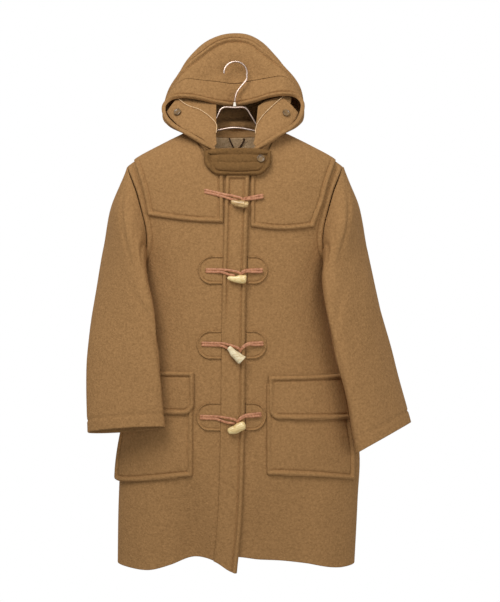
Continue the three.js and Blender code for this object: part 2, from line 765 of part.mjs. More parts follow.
// A rounded patch beside the placket, its round end away from it.
function patch(fastening, sign) {
  const edge = (z) => {
    const lap = valueAt(frontEdge, "x", "z", z);
    return sign < 0 ? lap - PLACKET_WIDTH - PATCH_CLEAR : lap + PATCH_CLEAR;
  };
  const middle = fastening.z + PATCH_RISE;
  const down = (u, v) => middle + PATCH_HEIGHT * (0.5 - v);
  const across = (u, v, z) => {
    const round = Math.sqrt(Math.max(1 - (2 * v - 1) ** 2, 0));
    const reach = PATCH_REACH[sign < 0 ? "left" : "right"] - (PATCH_HEIGHT / 2) * (1 - round);
    return edge(z) + sign * reach * u;
  };
  const us = spread(3);
  const vs = spread(7).map((t) => 0.5 - 0.5 * Math.cos(t * Math.PI));
  const options = { out: LAYER_GAP, turned: sign > 0 };
  if (sign < 0) return layer(across, down, -1, us, vs, options);
  return rightLayer(across, down, us, vs, options);
}

// A flat strap lying on the layers, from one x to another.
function strap(fromX, toX, fastening) {
  const z = fastening.z;
  const under = fastening.patches ? FIRST_LAYER : YOKE_GAP + CLOTH;
  const across = (u) => THREE.MathUtils.lerp(fromX, toX, u);
  const down = (u, v) => z + LEATHER_WIDTH * (0.5 - v) + STRAP_SLOPE * (across(u) - STRAP_LEVEL_X);
  return layer(across, down, -1, spread(6), [0, 1], {
    out: under + STRAP_GAP,
    thick: LEATHER,
    turned: true,
  });
}

function toggle(fastening) {
  const half = TOGGLE_LENGTH / 2;
  const r = TOGGLE_RADIUS;
  const profile = [
    [0, -half],
    [r * 0.42, -half + 1],
    [r * 0.62, -half * 0.6],
    [r * 0.86, -half * 0.15],
    [r, half * 0.4],
    [r * 0.96, half * 0.8],
    [r * 0.55, half - 1],
    [0, half],
  ].map(([x, y]) => new THREE.Vector2(x, y));
  const geometry = new THREE.LatheGeometry(profile, 10);
  geometry.rotateZ(-Math.PI / 2);
  geometry.rotateY(THREE.MathUtils.degToRad(fastening.tilt));
  const seat = bodyPoint(fastening.toggleX, fastening.toggleZ, -1);
  geometry.translate(seat.x, seat.y - PLACKET_GAP - CLOTH - fastening.lift - r, seat.z);
  return geometry;
}

// How far a pocket stands out at a place: forwards over its middle, and sideways by the side seam.
function pocketFullness(name, x, z) {
  const p = pockets[name];
  const across = THREE.MathUtils.clamp((x - p.inner) / (p.outer * halfWidth(x, z) - p.inner), 0, 1);
  const down = THREE.MathUtils.clamp((p.top - z) / (p.top - p.low.outer), 0, 1);
  const belly = Math.sin(Math.PI * THREE.MathUtils.lerp(POCKET_MOUTH_FULLNESS, 1, down));
  const forwards = POCKET_FULLNESS * Math.sin(Math.PI * across) * belly;
  const sideways = p.spread * across ** 3 * smooth(down) * Math.sign(x);
  return { forwards, sideways };
}

// Pocket bag or flap on a front, its lower corners rounded.
function pocketLayer(name, part, rows, out) {
  const sign = name === "left" ? -1 : 1;
  const { inner, outer, top, low, corner } = part;
  const bottom = (u) => THREE.MathUtils.lerp(low.inner, low.outer, smooth(u)) - low.sag * Math.sin(Math.PI * u);
  const down = (u, v) => THREE.MathUtils.lerp(top, bottom(u), v);
  const across = (u, v, z) => {
    const rise = THREE.MathUtils.clamp((z - bottom(u)) / corner, 0, 1);
    const trim = sign * corner * (1 - Math.sqrt(1 - (1 - rise) ** 2));
    const place = Math.sin((u * Math.PI) / 2) ** POCKET_COLUMN_POWER;
    const outside = outer * halfWidth(sign, z) - trim * POCKET_OUTER_CORNER;
    return THREE.MathUtils.lerp(inner + trim, outside, place);
  };
  const surface = (u, v) => {
    const z = down(u, v);
    const x = across(u, v, z);
    const p = bodyPoint(x, z, -1);
    const full = pocketFullness(name, x, z);
    p.y += (sign > 0 ? underlap(x) : 0) - full.forwards;
    p.x += full.sideways;
    return p;
  };
  return wall(surface, spread(9), rows, { turned: sign > 0, out });
}

// Hood shell
function hoodWarp([x, y, z], sign) {
  if (sign < 0) return new THREE.Vector3(x, y, z);
  const scale = valueAt(hoodRightWidth, "scale", "z", z);
  const rise = z > HOOD_RISE_ABOVE_Z ? HOOD_RIGHT_RISE * smooth(-x / HOOD_RISE_OVER) : 0;
  return new THREE.Vector3(-x * scale, y, z + rise);
}

function hoodRoute(row, neckPlace, sign) {
  const parts = ["edge", "band", "crown", "top", "back"].map((key) => hoodWarp(row[key], sign));
  const table = neckPlace.side < 0 ? frontNeck : backNeck;
  const neck = bodyPoint(sign * neckPlace.x, valueAt(table, "z", "x", neckPlace.x), neckPlace.side);
  neck.x *= HOOD_NECK_SCALE;
  neck.z += neckPlace.lift;
  return [...parts, neck];
}

const hoodRoutes = [
  ...hoodRows.map((row, i) => hoodRoute(row, hoodNeck[i], -1)),
  ...hoodRows.slice(0, -1).map((row, i) => hoodRoute(row, hoodNeck[i], 1)).reverse(),
];
const HOOD_PARTS = 5;
const hoodLines = spread(HOOD_PARTS).map((_, k) => curve(hoodRoutes.map((route) => route[k])));

// A point of the hood: u runs from the left throat over the brim to the right throat, and v from
// the edge to the neck seam, one part for each stretch between the named lines.
function hoodPoint(u, v) {
  return curve(hoodLines.map((line) => line.getPoint(u))).getPoint(v);
}

// Where a piece of the hood stops beside a seam at v.
function hoodSeam(u, v, side) {
  const step = 0.01;
  const speed = hoodPoint(u, v + step).distanceTo(hoodPoint(u, v - step)) / (2 * step);
  return v + (side * HOOD_GAP) / speed;
}

function hoodPiece(fromLine, toLine, rows, us) {
  const surface = (u, v) => {
    const from = fromLine > 0 ? hoodSeam(u, fromLine / HOOD_PARTS, 1) : 0;
    const to = toLine < HOOD_PARTS ? hoodSeam(u, toLine / HOOD_PARTS, -1) : 1;
    return hoodPoint(u, THREE.MathUtils.lerp(from, to, v));
  };
  return wall(surface, us, spread(rows), { out: -CLOTH });
}

// A surface between two lines given by rows, bulging a little towards the front.
function ruled(rows, a, b, bulge) {
  const lineA = curve(rows.map((r) => new THREE.Vector3(...r[a])));
  const lineB = curve(rows.map((r) => new THREE.Vector3(...r[b])));
  return (u, v) => {
    const p = lineA.getPoint(u).lerp(lineB.getPoint(u), v);
    p.y -= bulge * Math.sin(Math.PI * v) * smooth(u * 3);
    return p;
  };
}

function throatFlap() {
  const halfRun = (FLAP_RIGHT_X - FLAP_LEFT_X) / 2;
  const middleX = (FLAP_RIGHT_X + FLAP_LEFT_X) / 2;
  const height = FLAP_TOP_Z - FLAP_BOTTOM_Z;
  const down = (u, v) => {
    const out = Math.abs(2 * u - 1);
    const rounding = Math.max(out - FLAP_CORNER.from, 0) / (1 - FLAP_CORNER.from);
    const cut = FLAP_CORNER.cut * rounding ** FLAP_CORNER.power;
    const droop = FLAP_DROOP * out ** 3;
    return FLAP_TOP_Z - droop - v * (height - cut - droop);
  };
  const across = (u) => middleX + (2 * u - 1) * halfRun;
  const options = { out: FLAP_GAP, thick: FLAP_CLOTH, turned: true };
  return layer(across, down, -1, spread(12), spread(4), options);
}

function disc(radius, height, at, direction) {
  const profile = [
    [0, 0],
    [radius, 0],
    [radius, height * 0.7],
    [radius * 0.8, height],
    [radius * 0.55, height * 0.7],
    [0, height * 0.7],
  ].map(([x, y]) => new THREE.Vector2(x, y));
  const geometry = new THREE.LatheGeometry(profile, 12);
  const turn = new THREE.Quaternion().setFromUnitVectors(new THREE.Vector3(0, 1, 0), direction);
  geometry.applyQuaternion(turn);
  geometry.translate(at.x, at.y, at.z);
  return geometry;
}

// A round wire or cord along a route.
function cord(route, radius, steps, sides) {
  const circle = new THREE.Shape();
  circle.absarc(0, 0, radius, 0, Math.PI * 2);
  const settings = { extrudePath: curve(route), steps, curveSegments: sides / 2, bevelEnabled: false };
  return new THREE.ExtrudeGeometry(circle, settings);
}

function neckFacing() {
  const surface = (u, v) => {
    const x = (2 * u - 1) * NECK_FACING.halfWidth;
    const top = valueAt(backNeck, "z", "x", Math.abs(x)) - NECK_FACING.below;
    const round = Math.sqrt(1 - NECK_FACING.roundness * (2 * u - 1) ** 2);
    const z = THREE.MathUtils.lerp(top, top - NECK_FACING.drop * round, v);
    return backSet(bodyPoint(x, z, 1));
  };
  return wall(surface, spread(8), spread(5), { out: -FACING_BEHIND, thick: LINING });
}

function hangingLoop() {
  const route = loopRoute.map(([x, z]) => {
    const p = bodyPoint(x, z, 1);
    p.y -= FACING_BEHIND + LAYER_GAP + LOOP_CORD_RADIUS;
    return p;
  });
  return cord(route, LOOP_CORD_RADIUS, 14, 6);
}

function hook() {
  const route = [];
  for (const turn of spread(12)) {
    const angle = THREE.MathUtils.degToRad(THREE.MathUtils.lerp(HOOK_ANGLES.tip, HOOK_ANGLES.tail, turn));
    route.push(
      new THREE.Vector3(
        HOOK_MIDDLE_X + HOOK_RADIUS * Math.cos(angle),
        0,
        WIRE_RADIUS - HOOK_RADIUS + HOOK_RADIUS * Math.sin(angle),
      ),
    );
  }
  for (const [x, y, z] of hookTail) route.push(new THREE.Vector3(x, y, z));
  return cord(route, WIRE_RADIUS, 26, 8);
}

function collar() {
  const height = COLLAR.top - COLLAR.bottom;
  const geometry = new THREE.CylinderGeometry(COLLAR.topRadius, COLLAR.radius, height, 12);
  geometry.rotateX(Math.PI / 2);
  geometry.translate(COLLAR.x, 0, (COLLAR.top + COLLAR.bottom) / 2);
  return geometry;
}

function arms() {
  const seats = ARM_SEATS.map((x) => ({ x, z: ridge(x) - ARM_BELOW_RIDGE }));
  const tip = { x: ARM_TIP_X, z: ridge(ARM_TIP_X) - ARM_BELOW_RIDGE - ARM_TIP_DROP };
  const right = [...armMiddle, ...seats, tip].map((p) => new THREE.Vector3(p.x, 0, p.z));
  const left = right.slice(1).reverse().map((p) => new THREE.Vector3(-p.x, 0, p.z));
  return cord([...left, ...right], WIRE_RADIUS, 22, 8);
}

// Body
add("back", backPanel(), camel);
add("front_left", frontPanel(-1), camel);
add("front_right", frontPanel(1), camel);
add("sleeve_left", sleeve("left", -1), camel);
add("sleeve_right", sleeve("right", 1), camel);

// Yoke, placket and patches
add("yoke_front_left", yokeFront(-1), camel);
add("yoke_front_right", yokeFront(1), camel);
add("yoke_back", yokeBack(), camel);
add("placket", placket(), camel);
fastenings.forEach((fastening, i) => {
  if (!fastening.patches) return;
  add(`patch_left_${i + 1}`, patch(fastening, -1), camel);
  add(`patch_right_${i + 1}`, patch(fastening, 1), camel);
});

// Fastenings
fastenings.forEach((fastening, i) => {
  add(`loop_${i + 1}`, strap(LOOP_START_X, LOOP_END_X, fastening), leather);
  add(`tab_${i + 1}`, strap(TAB_START_X, TAB_END_X, fastening), leather);
  add(`toggle_${i + 1}`, toggle(fastening), horn);
});

// Pockets
for (const name of ["left", "right"]) {
  add(`pocket_${name}`, pocketLayer(name, pockets[name], pocketRows, LAYER_GAP), camel);
  add(`pocket_flap_${name}`, pocketLayer(name, flaps[name], flapRows, FIRST_LAYER + LAYER_GAP), camel);
}

// Hood
const hoodAcross = spread(32);
add("hood_band", hoodPiece(0, 1, 2, hoodAcross), camel);
add("hood_crown", hoodPiece(1, 2, 3, hoodAcross), camel);
add("hood_back", hoodPiece(2, HOOD_PARTS, 6, hoodAcross), camel);
for (const name of ["left", "right"]) {
  const turned = name === "right";
  const facing = ruled(facingRows[name], "edge", "fold", FACING_BULGE);
  const turnIn = ruled(innerFoldRows[name], "low", "high", TURN_IN_CLOTH);
  const { along, inward } = HOOD_BUTTON_PLACE;
  const out = normalOf(facing, along, inward).multiplyScalar(turned ? 1 : -1);
  const seat = facing(along, inward).addScaledVector(out, HOOD_BUTTON_LIFT);
  add(`hood_facing_${name}`, wall(facing, spread(8), spread(3), { turned }), camel);
  add(`hood_turn_in_${name}`, wall(turnIn, spread(4), spread(2), { turned, thick: TURN_IN_CLOTH }), camel);
  add(`hood_button_${name}`, disc(BUTTON_RADIUS, BUTTON_HEIGHT, seat, out), buttonHorn);
}

// Throat
add("throat_flap", throatFlap(), camel);
const throatSeat = bodyPoint(THROAT_BUTTON.x, THROAT_BUTTON.z, -1);
throatSeat.y -= FLAP_GAP + FLAP_CLOTH + BUTTON_LIFT;
const throatFacing = new THREE.Vector3(0.14, -1, 0.1).normalize();
add("throat_button", disc(BUTTON_RADIUS, BUTTON_HEIGHT, throatSeat, throatFacing), buttonHorn);

// Inside back neck
add("neck_facing", neckFacing(), facingCloth);
add("hanging_loop", hangingLoop(), braid);

// Hanger
add("hanger_hook", hook(), steel);
add("hanger_collar", collar(), collarWhite);
add("hanger_frame", cord(frameRoute.map((p) => new THREE.Vector3(...p)), WIRE_RADIUS, 22, 8), steel);
add("hanger_arms", arms(), steel);

export default coat;
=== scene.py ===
import math
import bpy
import numpy as np
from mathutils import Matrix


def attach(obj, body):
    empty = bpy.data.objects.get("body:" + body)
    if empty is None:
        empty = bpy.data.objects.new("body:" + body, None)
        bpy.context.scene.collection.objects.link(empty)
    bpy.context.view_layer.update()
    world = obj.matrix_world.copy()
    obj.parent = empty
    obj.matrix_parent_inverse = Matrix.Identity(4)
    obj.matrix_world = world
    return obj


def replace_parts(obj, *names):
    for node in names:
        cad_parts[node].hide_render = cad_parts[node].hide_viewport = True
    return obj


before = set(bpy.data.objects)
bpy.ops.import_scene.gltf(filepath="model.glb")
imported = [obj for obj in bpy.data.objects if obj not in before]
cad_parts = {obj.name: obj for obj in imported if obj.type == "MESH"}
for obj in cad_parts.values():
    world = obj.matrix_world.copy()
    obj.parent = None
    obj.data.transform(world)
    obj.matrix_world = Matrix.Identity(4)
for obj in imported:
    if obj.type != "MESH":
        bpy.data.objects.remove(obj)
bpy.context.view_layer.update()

# A duffle coat on a wire hanger, worked out in millimetres and written in metres. The front faces
# -Y and the viewer's left is -X. Each cloth piece is a closed wall over the same surfaces that the
# frame's solids follow, with rolled edges, rows of stitching and soft folds.

MM = 0.001

# Cloth and its layers
CLOTH = 3.0
LAYER_GAP = 0.3
FIRST_LAYER = 3.6
YOKE_GAP = 1.0
LINING = 1.2
FLAP_GAP = 6.1
FLAP_CLOTH = 4.0
EDGE_RADIUS = 2.4
STITCH = 10.5
GROOVE_DEPTH = 2.5
GROOVE_WIDTH = 1.9
RIDGE_HEIGHT = 3.8
RIDGE_POWER = 2.1
GRID = 4.0
FINE_GRID = 3.5
SHOULDER_FADE = 24.0
RIDGE_CLEARANCE = 0.02
LEAST_ROUNDING = 0.08
EDGE_STEPS = (0, 0.3, 0.9, 1.7, 2.8, 4.4, 6.4, 8.2, 9.4, 10.5, 11.6, 12.8, 14.6, 17)

SIDES = {"left": -1, "right": 1}

# Body
HEM_Z = -1101.0
HEM_SIDE_X = 260.0
FRONT_HEM_FROM = {"left": 4.0, "right": 15.0}
NECK_X = 79.5
SHOULDER_TIP_X = 237.0
UNDERARM_Z = -440.0
SHOULDER_SLOPE = 0.54
NECK_ROUNDING = 60.0
SHOULDER_Z = -145.7
DROOP_FROM = 195.0
DROOP_RATE = 0.003
SHOULDER_ROUNDING = 45.0
ROUNDED_DEPTH = 90.0
SECTION_POWER = 2.2
ARMHOLE_GAP = 1.2
ARMHOLE_STITCH = 12.0
ARMHOLE_FADE_ABOVE = 10.0
ARMHOLE_FADE_OVER = 30.0


def table(columns, rows):
    """Rows of numbers as one array for each named column."""
    return dict(zip(columns.split(), (np.array(c, float) for c in zip(*rows))))


BODY = table("z left right front back seam", [
    (-120, 262, 262, 86, 80, 0),
    (-230, 258, 257, 86, 80, 4),
    (-340, 236, 236, 87, 81, 12),
    (-440, 212, 212, 89, 83, 22),
    (-560, 212, 212, 91, 85, 26),
    (-700, 228, 244, 93, 88, 22),
    (-850, 250, 274, 94, 90, 12),
    (-960, 256, 270, 92, 92, 4),
    (-1110, 258, 262, 90, 90, 0),
])
# Large folds towards the hem: plus is into the body
FOLD_COLUMNS = "x width depth top bottom"
FRONT_FOLDS = table(FOLD_COLUMNS, [
    (-92, 46, 30, -860, -1101),
    (92, 60, 16, -880, -1101),
    (190, 34, -7, -820, -1101),
    (-190, 34, -6, -840, -1101),
])
BACK_FOLDS = table(FOLD_COLUMNS, [
    (-120, 42, 12, -700, -1101),
    (30, 48, -9, -640, -1101),
    (150, 40, 13, -720, -1101),
])
# Soft creases: middle, lean, half width and half length, and depth into the cloth
CREASE_COLUMNS = "x z lean width length depth"
FRONT_CREASES = table(CREASE_COLUMNS, [
    (-68, -225, 0.02, 7, 50, 3.2),
    (-84, -235, 0.02, 10, 60, -1.6),
    (104, -215, -0.1, 8, 50, 2.2),
    (-150, -470, -0.55, 16, 70, 3.0),
    (-120, -520, -0.4, 20, 80, -2.0),
    (150, -480, 0.6, 16, 70, 3.0),
    (118, -530, 0.45, 20, 80, -2.0),
    (-176, -560, -0.1, 12, 90, 2.4),
    (178, -560, 0.12, 12, 90, 2.2),
    (-110, -640, 0.25, 22, 60, 1.6),
    (95, -600, -0.2, 26, 90, 1.8),
    (60, -980, 0.05, 12, 90, 2.6),
    (150, -1010, -0.04, 14, 90, 2.8),
    (-140, -1000, 0.05, 12, 90, 2.4),
])
BACK_CREASES = table(CREASE_COLUMNS, [
    (-120, -470, 0.6, 18, 90, 3.4),
    (120, -470, -0.6, 18, 90, 3.4),
    (-60, -640, 0.2, 18, 120, 2.4),
    (70, -690, -0.1, 18, 130, 2.6),
    (0, -900, 0.04, 20, 150, 2.8),
    (0, -200, 0.0, 60, 26, -1.6),
])
FRONT_EDGE = table("z x", [
    (-225, 33), (-310, 30.5), (-545, 24.5), (-777, 22.4), (-990, 16), (-1101, 5.5),
])
UNDERLAP_X = -14.0
UNDERLAP_FROM = 60.0
UNDERLAP_OVER = 90.0
HEM = table("x z", [
    (-260, -1098), (-190, -1101), (-140, -1090), (-90, -1074), (-45, -1080), (-8, -1100),
    (8, -1099), (14, -1072), (80, -1078), (165, -1086), (225, -1099), (262, -1099),
])
FRONT_NECK = table("x z", [
    (0, -240), (24, -236), (44, -226), (60, -205), (70, -182), (76, -163), (NECK_X, -146),
])
BACK_NECK = table("x z", [(0, -156), (30, -155.5), (60, -153), (NECK_X, -146)])
ARMHOLE = table("z x", [
    (-229, 237), (-253, 227), (-288, 213), (-327, 202), (-370, 192), (-405, 191), (-430, 200),
    (UNDERARM_Z, 211),
])

# Sleeve sections: middle, half width and thickness of the flattened tube, its turn, and how much
# higher its outer side is
SLEEVE_COLUMNS = "z x y wide thick turn rise"
SLEEVES = {
    "left": table(SLEEVE_COLUMNS, [
        (-360, 231, -8, 66, 35, 70, 1.3),
        (-440, 239, -24, 79, 30, 53, 0.6),
        (-525, 239, -46, 85, 29, 39, 0.25),
        (-610, 239, -66, 87, 28, 27, 0.1),
        (-700, 236, -84, 87, 27, 19, 0),
        (-798, 229, -93, 87, 31, 14, -0.1),
    ]),
    "right": table(SLEEVE_COLUMNS, [
        (-360, 232, -8, 66, 35, 70, 1.3),
        (-440, 240, -24, 80, 30, 54, 0.6),
        (-525, 254, -42, 84, 29, 48, 0.3),
        (-610, 272, -50, 86, 28, 47, 0.28),
        (-700, 295, -56, 87, 28, 48, 0.3),
        (-818, 321, -60, 88, 34, 46, 0.38),
    ]),
}
SLEEVE_CREASES = table("turn down lean width length depth", [
    (0.10, 0.18, 0.25, 0.022, 0.12, 3.4),
    (0.22, 0.24, -0.2, 0.025, 0.12, 3.0),
    (0.30, 0.20, -0.5, 0.022, 0.10, 3.2),
    (0.16, 0.52, 0.6, 0.03, 0.10, 2.6),
    (0.30, 0.58, -0.4, 0.03, 0.10, 2.8),
    (0.24, 0.72, 0.3, 0.03, 0.12, 2.0),
    (0.72, 0.30, 0.3, 0.03, 0.14, 3.0),
    (0.84, 0.50, -0.3, 0.035, 0.14, 2.6),
    (0.66, 0.60, 0.2, 0.03, 0.14, 2.6),
])
SLEEVE_SPANS = 96
SLEEVE_CREASE_START = 8
CUFF_STITCH = 26.0
CUFF_GROOVE_SHARE = 0.8
CUFF_GROOVE_WIDTH = 2.4
CUFF_TILT = 8.0

# Yoke
YOKE_EDGE_X = {"left": -23.3, "right": 33.8}
YOKE_SETBACK = 9.0
YOKE_NECK_DROP = 5.0
YOKE_BOTTOM = {
    "left": {"inner": -359.0, "outer": -341.0, "sag": 4.0},
    "right": {"inner": -367.0, "outer": -366.0, "sag": 7.0},
}
YOKE_BACK_BOTTOM = -372.0
YOKE_TRIM = {"left": 0, "right": 11.0}
YOKE_TRIM_FROM = -300.0
YOKE_TRIM_OVER = 70.0
YOKE_SIDE = table("z x", [
    (-212, 222), (-240, 211), (-266, 202), (-295, 194), (-320, 189), (-372, 180),
])

# Placket, patches and fastenings
PLACKET_TOP_Z = -254.0
PLACKET_WIDTH = 51.0
PLACKET_INSET = 0.5
PLACKET_HEM_X = 4.0
PLACKET_ROLL_ENDS = -500.0
PLACKET_ROLL_FADE = 90.0
LOST_ROLL = 0.8
PLACKET_LIFTS = [(-385, 50, 5.0), (-535, 45, 2.5), (-690, 50, 2.5), (-1040, 60, 4.0)]
PATCH_REACH = {"left": 52.0, "right": 44.0}
PATCH_HEIGHT = 60.0
PATCH_STITCH = 4.2
PATCH_STRENGTH = 0.75
PATCH_CLOTH = 2.2
PATCH_ROWS = 37
PATCH_GAP = {"left": 0.6, "right": 1.0}
PATCH_RISE = 2.0
FASTENINGS = [
    {
        "z": -303, "patches": False, "lift": 3.2, "horn": "horn_brown",
        "loop": ((-65, -290), (-20, -301)), "over": (17, -309), "tab": (27, -307, 62, -301),
        "toggle": (11, -318), "tilt": 9, "length": 38, "radius": 8.6,
        "shape": ((-1, 0.2), (-0.9, 0.5), (-0.4, 0.8), (0.2, 0.95), (0.52, 1), (0.6, 0.72),
                  (0.7, 0.8), (0.9, 0.7), (1, 0.3)),
    },
    {
        "z": -461, "patches": True, "lift": 0.6, "horn": "horn_yellow",
        "loop": ((-62, -460), (-26, -461)), "over": (11, -466), "tab": (25, -461, 61, -460),
        "toggle": (5, -478), "tilt": 3, "length": 41, "radius": 9.4,
        "shape": ((-1, 0.1), (-0.9, 0.34), (-0.6, 0.6), (-0.1, 0.72), (0.3, 0.98), (0.8, 1),
                  (0.95, 0.85), (1, 0.6)),
    },
    {
        "z": -620, "patches": True, "lift": 2.0, "horn": "horn_pale",
        "loop": ((-71, -616), (-26, -617)), "over": (10, -626), "tab": (29, -616, 62, -615),
        "toggle": (2, -637), "tilt": 43, "length": 41, "radius": 10.4,
        "shape": ((-1, 0.3), (-0.92, 0.5), (-0.3, 0.74), (0.4, 0.92), (0.88, 1.04), (0.97, 1), (1, 0.85)),
    },
    {
        "z": -772, "patches": True, "lift": 0.6, "horn": "horn_yellow",
        "loop": ((-74, -771), (-38, -772)), "over": (4, -777), "tab": (22, -768, 58, -765),
        "toggle": (5, -793), "tilt": -25, "length": 40, "radius": 9.8,
        "shape": ((-1, 0.3), (-0.9, 0.62), (-0.5, 0.88), (0, 0.97), (0.5, 1), (0.85, 0.88), (1, 0.4)),
    },
]
THONG_HALF = 2.6
THONG_FLATNESS = 0.4
THONG_HEIGHT = 4.9
PLACKET_RISE = 2.6
# Where a thong climbs onto the placket and leaves it again: x and how far it takes
THONG_CLIMB = (-36.0, 12.0)
THONG_DESCENT = (26.0, 10.0)
TOGGLE_ROWS = 44
TOGGLE_SIDES = 28
TOGGLE_BOW = 1.8
TOGGLE_SET_IN = 0.8
TOGGLE_RIPPLE = 0.4
TOGGLE_RIPPLE_LENGTH = 3.1
TOGGLE_FLATNESS = 0.8
TOGGLE_END_SHARE = 0.1

# Pockets and flaps
POCKETS = {
    "left": {"inner": -88, "outer": -0.985, "top": -690, "low": (-898, -913), "sag": 8, "corner": 7},
    "right": {"inner": 68, "outer": 0.94, "top": -700, "low": (-895, -914), "sag": 0, "corner": 7},
}
FLAPS = {
    "left": {"inner": -85, "outer": -0.93, "top": -675, "low": (-767, -765), "sag": 0, "corner": 25},
    "right": {"inner": 72, "outer": 0.965, "top": -684, "low": (-777, -783), "sag": 0, "corner": 25},
}
POCKET_SPREAD = {"left": 9.0, "right": 0.0}
POCKET_FULLNESS = 5.0
POCKET_MOUTH_FULLNESS = 0.15
POCKET_OUTER_CORNER = 0.12
POCKET_STITCH = 11.0
POCKET_EDGE_POWER = 0.9

# Hood rows from the throat round to the middle of the brim: points on the edge, the band seam, the
# crown seam, the top and the back
HOOD_ROWS = [
    ((-40, -72, -197), (-41, -70, -204), (-42, -69, -210), (-42, -69, -214), (-43, -69, -219)),
    ((-68, -76, -181), (-67, -74, -187), (-65, -71, -192), (-63, -69, -196), (-61, -67, -200)),
    ((-96, -74, -165), (-95, -71, -171), (-90, -68, -174), (-84, -66, -176), (-78, -64, -178)),
    ((-123, -62, -150), (-121, -54, -157), (-112, -49, -158), (-104, -46, -157), (-94, -44, -156)),
    ((-142, -44, -132), (-146, -30, -137), (-138, -20, -141), (-126, -14, -142), (-106, -8, -142)),
    ((-153, -24, -111), (-158, -4, -116), (-153, 16, -122), (-140, 26, -127), (-116, 32, -134)),
    ((-152, -12, -94), (-159, 12, -92), (-154, 38, -94), (-142, 54, -102), (-120, 64, -116)),
    ((-138, -10, -83), (-143, 8, -62), (-142, 30, -54), (-142, 56, -56), (-116, 88, -88)),
    ((-109, -16, -81), (-112, -5, -37), (-110, 14, -8), (-116, 48, 2), (-102, 100, -64)),
    ((-76, -15, -85), (-78, -1, -37), (-76, 18, 25), (-80, 50, 46), (-74, 108, -42)),
    ((-40, -4, -92), (-42, 8, -39), (-38, 25, 52), (-40, 54, 69), (-38, 113, -30)),
    ((-1, 9, -94), (0, 16, -43), (0, 30, 61), (0, 57, 77), (0, 115, -26)),
]
HOOD_PARTS = 5
HOOD_GIRTH = 620
# Name, first and last seam, length, stitched side, stitch, mesh step and strength of the relief
HOOD_PIECES = [
    ("hood_band", 0, 1, 48, ("top",), 10.0, 2.5, 1.35),
    ("hood_crown", 1, 2, 95, ("bottom",), 10.0, FINE_GRID, 1.3),
    ("hood_back", 2, HOOD_PARTS, 260, ("top",), 8.0, 4.0, 1.0),
]
HOOD_WAVE_HEIGHT = 0.7
HOOD_WAVE_RATE = (1.6, 1.8)
HOOD_RIGHT_WIDTH = table("z scale", [
    (-200, 1.03), (-150, 0.96), (-100, 0.95), (-62, 0.98), (-30, 0.97), (0, 0.9), (40, 0.82),
    (80, 0.8),
])
HOOD_RIGHT_RISE = 5.0
HOOD_RISE_OVER = 80.0
HOOD_RISE_ABOVE = -120.0
HOOD_NECK = [
    (44, -1, 1.4), (60, -1, 1.4), (70, -1, 2.5), (76, -1, 4.5), (NECK_X, 1, 5), (76, 1, 4),
    (69, 1, 2), (60, 1, 1.4), (47, 1, 1.4), (32, 1, 1.4), (16, 1, 1.4), (0, 1, 1.4),
]
HOOD_NECK_SCALE = 0.955
SEAM_OVERLAP = 5.0
HOOD_SEAM_GAP = 0.0012
LIP_SHARE = 0.19
LIP_FROM = 0.62
LIP_OVER = 0.2
# Where the stem presses into the brim, and the fold at the nape: place, reach and push to the back
HOOD_DENTS = [
    (-1, 10, -80, 12, 40, 24, 7),
    (0, 20, -18, 70, 60, 20, 7),
    (62, 14, -34, 26, 50, 12, 5),
    (-66, 10, -34, 26, 50, 12, 4),
    (0, 26, 30, 40, 60, 16, -3),
    (2, 70, -129, 48, 36, 9, -26),
    (-60, 10, 20, 26, 60, 30, 3),
]
FACINGS = {
    "left": [
        ((-48, -72, -190), (-38.5, -68, -188)),
        ((-67, -71, -171), (-39.5, -56, -164)),
        ((-93, -66, -155), (-40.5, -44, -142)),
        ((-118, -53, -140), (-72, -33, -112)),
        ((-138, -34, -120), (-104, -22, -98)),
        ((-151, -14, -102), (-128, 0, -78)),
    ],
    "right": [
        ((48.6, -71, -191), (41, -68, -187)),
        ((65, -71, -175), (44, -57, -166)),
        ((89.2, -66, -158.6), (48, -45, -144)),
        ((114.4, -53, -141.6), (60, -36, -124)),
        ((131.5, -36, -122.5), (82, -24, -100)),
        ((140, -20, -104), (106, -4, -76)),
    ],
}
FACING_TUCK = np.array([0.0, 2.5, -9.0])
TURN_INS = {
    "left": [
        ((-40, -41.6, -144), (-41, 0, -90)),
        ((-60, -32, -124), (-62, 2, -84)),
        ((-86, -20, -106), (-90, 4, -78)),
        ((-120, -8, -92), (-122, 8, -68)),
    ],
    "right": [
        ((46, -36, -140), (50, -2, -96)),
        ((62, -28, -118), (68, -1, -84)),
        ((86, -18, -102), (94, 0, -76)),
        ((122, -4, -94), (126, 12, -66)),
    ],
}
PIPING_RADIUS = 1.1
PIPING_OUT = np.array([0.0, -1.5, 0.5])
TURN_IN_CLOTH = 2.0
FACING_BULGE = 5.0
FACING_BULGE_START = 3
HOOD_BUTTON = {"along": 0.8, "inward": 0.42, "lift": 2.0}
BUTTON_PROBE = np.array([-0.01, 0, 0.01])

# Throat flap, buttons and neck
FLAP_TOP_Z = -201.0
FLAP_BOTTOM_Z = -258.0
FLAP_LEFT_X = -62.0
FLAP_RIGHT_X = 77.0
FLAP_CORNER_FROM = 0.55
FLAP_CORNER_CUT = 27.0
FLAP_CORNER_POWER = 2.2
FLAP_DROOP = 4.0
FLAP_FOLDS_X = 6.0
FLAP_FOLD_REACH = 44.0
FLAP_FOLD_SAG = 5.0
# Place below the top, width, and how far each fold stands out
FLAP_FOLDS = [(-4, 4, 2.5), (-10, 3.6, -2.6), (-17, 4.5, 5.5), (-25, 3.6, -2.2), (-33, 6, 5.0)]
BUTTON_RADIUS = 8.5
BUTTON_HEIGHT = 3.4
BUTTON_LIFT = 1.1
